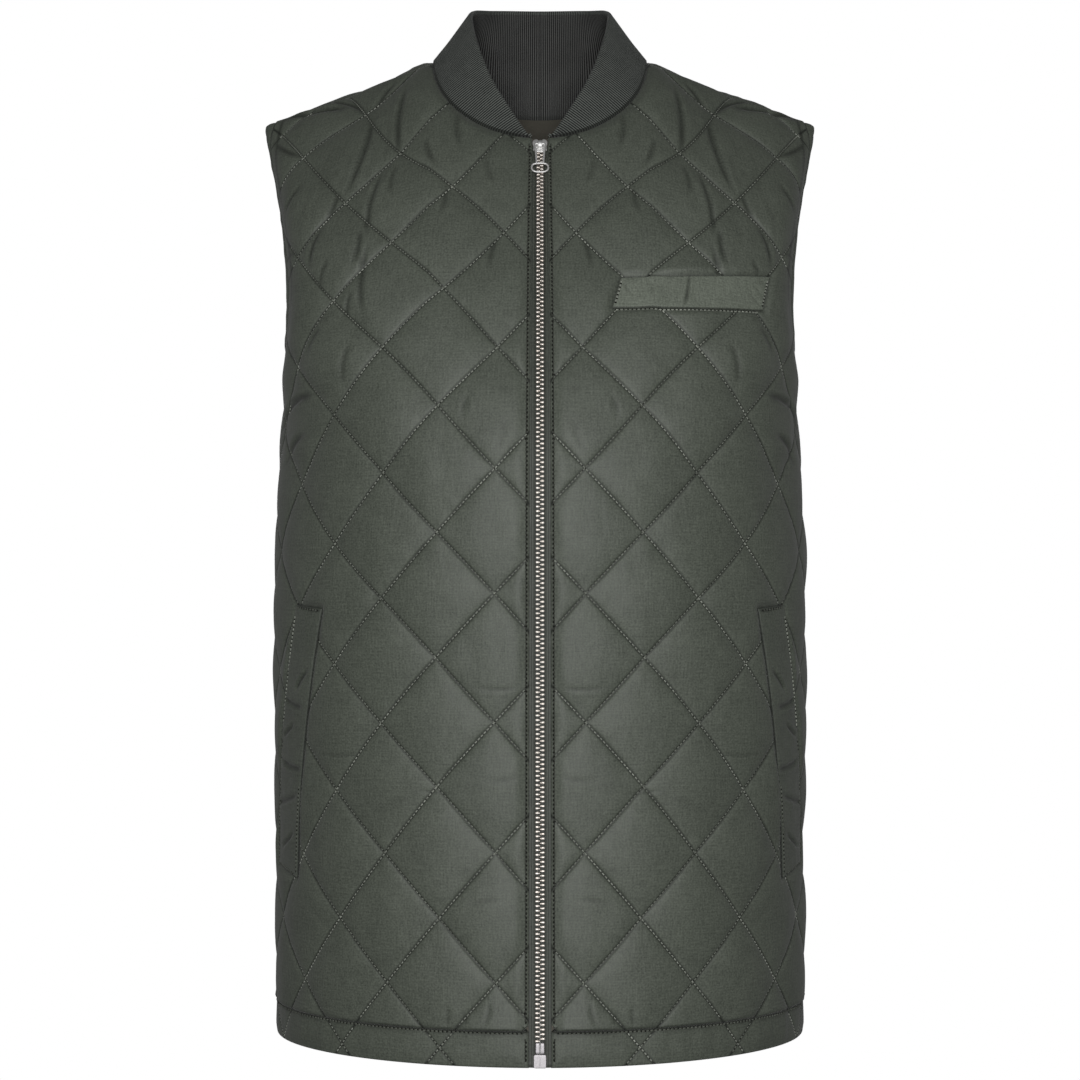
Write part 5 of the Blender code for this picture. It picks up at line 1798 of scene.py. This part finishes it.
def pillow(outline, low, high, bevel):
    """A plate with soft edges: its outline in x and z, its two faces by their height out."""
    centre = outline.mean(axis=0)
    edge = bevel / np.linalg.norm(outline - centre, axis=1).mean()
    profile = (
        (1 - edge, low), (1 - 0.3 * edge, low + 0.3 * bevel), (1, low + bevel), (1, high - bevel),
        (1 - 0.12 * edge, high - 0.5 * bevel), (1 - 0.4 * edge, high - 0.2 * bevel), (1 - edge, high),
        (0.5, high + 0.25 * bevel),
    )
    rings = [np.insert(centre + (outline - centre) * scale, 1, -out, axis=1) for scale, out in profile]
    count = len(outline)
    ends = [[[centre[0], -out, centre[1]]] for out in (high + 0.3 * bevel, low)]
    points = np.concatenate(rings + ends)
    faces = grid_faces(len(rings), count, wrap=True)
    last = (len(rings) - 1) * count
    for j in range(count):
        k = (j + 1) % count
        faces.append((last + j, last + k, len(points) - 2))
        faces.append((k, j, len(points) - 1))
    return points, faces


def swept(path, section, side, closed):
    """A section swept along a path that lies square to side: points and faces."""
    path = np.asarray(path, dtype=float)
    run = np.roll(path, -1, axis=0) - np.roll(path, 1, axis=0)
    if not closed:
        run[0] = path[1] - path[0]
        run[-1] = path[-1] - path[-2]
    other = np.cross(run / np.linalg.norm(run, axis=1)[:, None], side)
    points = np.stack([path + np.array(side) * a + other * b for a, b in section], axis=1).reshape(-1, 3)
    around = len(section)
    faces = grid_faces(len(path), around, wrap=True)
    last = len(points) - around
    if closed:
        faces += [(last + j, last + (j + 1) % around, (j + 1) % around, j) for j in range(around)]
    else:
        faces.append(range(around)[::-1])
        faces.append(range(last, len(points)))
    return points, faces


def wire_section():
    turns = 2 * math.pi * np.arange(WIRE_SIDES) / WIRE_SIDES
    return [(WIRE * math.cos(turn), WIRE * math.sin(turn)) for turn in turns]


def add_metal(name, node, matrix, shapes, material, body="garment"):
    points, faces = joined(shapes)
    close_shapes(add_piece(name, placed(matrix, points), faces, material, "nickel", node, body))


def block_at(size, centre, roundness=BLOCK_ROUNDNESS):
    points, faces = rounded_block(np.array(size) / 2, roundness, *BLOCK_MESH)
    return points + np.array(centre), faces


def crown_strap():
    """The strap over the pull's axle."""
    foot = SLIDER_PLATE_FRONT + SLIDER_PLATE - CROWN_STRAP / 2
    reach = CROWN_LENGTH / 2 - CROWN_STRAP / 2
    path = [
        (0, -foot - CROWN_HEIGHT * math.sin(t) ** CROWN_POWER, reach * math.cos(t))
        for t in np.linspace(0, math.pi, CROWN_STATIONS)
    ]
    section = [(a * CROWN_WIDTH / 2, b * CROWN_STRAP / 2) for a, b in STRAP_SECTION]
    return swept(path, section, (1.0, 0.0, 0.0), False)


def make_slider(matrix):
    half = SLIDER_WIDTH / 2
    reach = SLIDER_LENGTH / 2
    outline = [(-half * p, reach * v) for p, v in SLIDER_OUTLINE]
    outline += [(half * p, reach * v) for p, v in reversed(SLIDER_OUTLINE)]
    outline = round_corners(outline, 2)
    wedge = (WEDGE_WIDTH, SLIDER_PLATE_FRONT - SLIDER_PLATE_BACK + PLATE_OVERLAP, WEDGE_LENGTH)
    shapes = [
        pillow(outline, SLIDER_PLATE_FRONT, SLIDER_PLATE_FRONT + SLIDER_PLATE, SLIDER_BEVEL),
        pillow(outline, SLIDER_PLATE_BACK - SLIDER_PLATE, SLIDER_PLATE_BACK, SLIDER_BEVEL),
        block_at(wedge, (0, WEDGE_SINK, reach - WEDGE_INSET)),
        crown_strap(),
    ]
    for side in (-1, 1):
        centre = (side * (half - LIP_INSET), LIP_PLACE[0] - SLIDER_PLATE_FRONT, LIP_PLACE[1])
        shapes.append(block_at(LIP, centre))
    add_metal("zip_slider_body", "zip_slider", matrix, shapes, NICKEL)


def make_pull(slider_matrix, slider_up):
    """The wire pull: an axle through the crown, two arms and an oval ring."""
    axis = slider_matrix @ Matrix.Translation((0, -AXLE_OUT, 0))
    ring_up = slider_up - PULL_ARM - RING_LENGTH
    rest = zip_frame(ring_up) @ Vector((0, -CHAIN_FRONT - RING_CLEARANCE, 0))
    drop = rest - axis.translation
    matrix = Matrix.Translation(axis.translation) @ Matrix.Rotation(math.atan2(drop.y, -drop.z), 4, "X")
    half = PULL_WIDTH / 2
    neck = PULL_NARROWING * half
    arm = [
        (half - PULL_BEND, 0, 0), (half, 0, 0), (half * PULL_TOP, 0, -PULL_BEND),
        (neck, 0, PULL_BEND - PULL_ARM), (neck * PULL_FOOT, 0, -PULL_ARM), (neck - PULL_BEND, 0, -PULL_ARM),
    ]
    stirrup = arm + [(-x, y, z) for x, y, z in reversed(arm)]
    oval = []
    for turn in 2 * math.pi * np.arange(RING_STATIONS) / RING_STATIONS:
        x = RING_WIDTH / 2 * signed_power(math.cos(turn), 2 / RING_ROUNDNESS)
        z = RING_LENGTH / 2 * signed_power(math.sin(turn), 2 / RING_ROUNDNESS)
        oval.append((x, 0, z - PULL_ARM - RING_LENGTH / 2))
    wires = (round_corners(stirrup, 2), oval)
    shapes = [swept(wire, wire_section(), (0.0, 1.0, 0.0), True) for wire in wires]
    add_metal("zip_pull_wire", "zip_pull", matrix, shapes, NICKEL, "pull")


def make_box_and_pins():
    middle = (CHAIN_FRONT - CHAIN_BACK) / 2
    rib_width, rib_depth, rib_share, rib_out, rib_rise = BOX_RIB
    shapes = [
        block_at((2 * TAPE_INNER_EDGE - 2 * SEAM_GAP, BOX_DEPTH, BOX_LENGTH), (0, -middle, 0)),
        block_at((BOX_WIDTH, CHAIN_FRONT * BOX_COVER, BOX_LENGTH), (0, -CHAIN_FRONT, 0), BOX_ROUNDNESS),
        block_at((rib_width, rib_depth, BOX_LENGTH * rib_share), (0, -CHAIN_FRONT * rib_out, rib_rise)),
    ]
    add_metal("zip_box_metal", "zip_box", zip_frame(BOX_LENGTH / 2), shapes, SHADED_NICKEL)
    matrix = zip_frame(BOX_LENGTH + SEAM_GAP + PIN_LENGTH / 2)
    for name, hand in HANDS:
        centre = (hand * (SEAM_GAP + PIN_WIDTH) / 2, -middle, 0)
        shape = block_at((PIN_WIDTH, PIN_THICKNESS, PIN_LENGTH), centre, PIN_ROUNDNESS)
        add_metal(f"zip_pin_{name}_metal", f"zip_pin_{name}", matrix, [shape], SHADED_NICKEL)


# The stage

STUDIO_CENTRE = (0, 0, -0.35)
STUDIO_RADIUS = 9.0
STUDIO_GLOW = 1.0
FLOOR_PLACE = (0, 0, -2.1)
FLOOR_RADIUS = 3.0
FLOOR_GLOW = 0.94
AMBIENT = 0.05
# Each light's place, aim, size and power
LIGHTS = (
    ("front_light", (0.0, -2.6, -0.22), (0.0, 0.0, -0.34), 0.9, 49.5),
    ("back_light", (0.0, 2.6, -0.10), (0.0, 0.0, -0.36), 1.6, 30.0),
    ("right_light", (-2.5, 1.0, -0.10), (0.0, 0.0, -0.36), 1.6, 2.5),
    ("left_light", (2.5, 1.0, -0.10), (0.0, 0.0, -0.36), 1.6, 2.5),
)
CAMERA_PLACE = (0.0, -2.0, -0.342)
CAMERA_LENS = 92.6
SENSOR_WIDTH = 36.0


def glow(name, strength):
    surface = Surface(name, 1.0, 0.0, 0.0)
    nodes = surface.tree.nodes
    nodes.remove(nodes["Principled BSDF"])
    shine = surface.node("Emission", Color=(1, 1, 1, 1), Strength=strength)
    surface.join(shine, nodes["Material Output"].inputs["Surface"])
    return surface.material


def make_stage():
    """A white studio that only the camera sees, a pale floor far below, and soft light."""
    scene = bpy.context.scene
    bpy.ops.mesh.primitive_uv_sphere_add(
        segments=48, ring_count=24, radius=STUDIO_RADIUS, location=STUDIO_CENTRE
    )
    dome = bpy.context.object
    dome.name = "white_studio"
    dome.data.shade_smooth()
    dome.data.materials.append(glow("studio_white", STUDIO_GLOW))
    bpy.ops.mesh.primitive_circle_add(
        vertices=64, radius=FLOOR_RADIUS, fill_type="NGON", location=FLOOR_PLACE
    )
    floor = bpy.context.object
    floor.name = "pale_floor"
    floor.data.materials.append(glow("floor_pale", FLOOR_GLOW))
    for item in (dome, floor):
        item.visible_diffuse = False
        item.visible_glossy = False
        item.visible_shadow = False
        item.visible_transmission = False
    world = bpy.data.worlds.new("studio_air")
    scene.world = world
    world.use_nodes = True
    world.node_tree.nodes["Background"].inputs["Color"].default_value = (1.0, 1.0, 1.0, 1)
    world.node_tree.nodes["Background"].inputs["Strength"].default_value = AMBIENT
    for name, place, aim, size, energy in LIGHTS:
        light = bpy.data.lights.new(name, "AREA")
        light.energy = energy
        light.shape = "DISK"
        light.size = size
        lamp = bpy.data.objects.new(name, light)
        scene.collection.objects.link(lamp)
        lamp.location = place
        lamp.rotation_mode = "QUATERNION"
        lamp.rotation_quaternion = (Vector(aim) - Vector(place)).to_track_quat("-Z", "Y")
    scene.view_settings.view_transform = "Standard"
    scene.view_settings.look = "None"


def make_camera():
    data = bpy.data.cameras.new("camera")
    data.lens = CAMERA_LENS
    data.sensor_width = SENSOR_WIDTH
    camera = bpy.data.objects.new("camera", data)
    bpy.context.scene.collection.objects.link(camera)
    camera.location = CAMERA_PLACE
    camera.rotation_euler = (math.pi / 2, 0, 0)
    bpy.context.scene.camera = camera


def hem_row(outline):
    """The row of stitches that holds the turned hem."""
    low = outline[:, 0].min() + HEM_ROW_END
    high = outline[:, 0].max() - HEM_ROW_END
    across = np.linspace(low, high, HEM_ROW_STATIONS)
    line = np.stack((across, np.full_like(across, HEM_DEPTH - HEM_ROW)), axis=1)
    return line, outline, True, None


def edge_row(outline, hem, low, high, stations):
    """A row of stitches along the front's folded edge."""
    up = np.linspace(low, high, stations)
    return np.stack((front_edge(up) + FRONT_ROW, up), axis=1), outline, hem, None


def welt_rows(welt, parts):
    """Rows of stitches on a welt, just inside parts of its edges."""
    height = STITCHED_THICKNESS + SEAM_GAP + WELT_THICKNESS
    return [(welt.line(edge, WELT_ROW, part), None, False, height) for edge, part in parts]


def make_fronts(neck):
    for name, hand in HANDS:
        panel = FRONT_PANELS[name]
        front = f"front_{name}"
        make_panel(front, panel, FRONT_OUTLINE, FRONT_HEM, FRONT_STEPS)
        sew_panel(front, panel, (FRONT_OUTLINE, FRONT_HEM))
        seed = SEEDS["side_welt"] + hand
        make_welt(f"side_pocket_welt_{name}", hand, SIDE_PATCH, SIDE_WRINKLES, seed, SHADED_SIDE_WELT_CLOTH)
        low = HEM_DEPTH + FRONT_ROW_END
        rows = [
            edge_row(FRONT_OUTLINE, False, low, neck - FRONT_ROW_END, FRONT_ROW_STATIONS),
            edge_row(FRONT_HEM, True, HEM_EDGE_END, HEM_DEPTH - HEM_EDGE_END, HEM_EDGE_STATIONS),
        ]
        sew_rows(f"{front}_edge_rows", panel, rows, DEEPEST_SHADE_THREAD, EDGE_HOLE_RADIUS)
        sew_rows(f"{front}_hem_row", panel, [hem_row(FRONT_HEM)], DEEPER_SHADE_THREAD)
        sew_rows(f"{front}_pocket_rows", panel, welt_rows(SIDE_PATCH, SHADED_ROW_PARTS), DEEPER_SHADE_THREAD)
        rows = welt_rows(SIDE_PATCH, LIT_ROW_PARTS)
        if hand == LEFT:
            rows.append((CHEST_PATCH.line(0, -WELT_ROW, (0.0, 1.0)), FRONT_OUTLINE, False, None))
            rows += welt_rows(CHEST_PATCH, [(edge, CHEST_ROW_PART) for edge in (1, 3)])
        sew_rows(f"{front}_welt_rows", panel, rows, LIT_THREAD)
    make_welt("chest_pocket_welt", LEFT, CHEST_PATCH, CHEST_WRINKLES, SEEDS["chest_welt"], LIT_WELT_CLOTH)


def make_zip(neck):
    for name, hand in HANDS:
        make_tape(name, hand, neck)
    slider_up = neck - SLIDER_BELOW_NECK
    make_teeth(BOX_LENGTH + PIN_LENGTH + 2 * SEAM_GAP, slider_up)
    matrix = zip_frame(slider_up)
    make_slider(matrix)
    make_pull(matrix, slider_up)
    make_box_and_pins()


def main():
    neck = float(FRONT_NECK[-1, 1])
    make_camera()
    make_stage()
    make_panel("back", BACK_PANEL, BACK_OUTLINE, BACK_HEM, BACK_STEPS)
    sew_panel("back", BACK_PANEL, (BACK_OUTLINE, BACK_HEM))
    sew_rows("back_rows", BACK_PANEL, [hem_row(BACK_HEM)], DEEPEST_SHADE_THREAD)
    make_fronts(neck)
    make_seam_strips()
    for name, hand in HANDS:
        make_binding(name, hand, SEEDS["binding"] + hand)
    make_collar()
    make_zip(neck)


main()
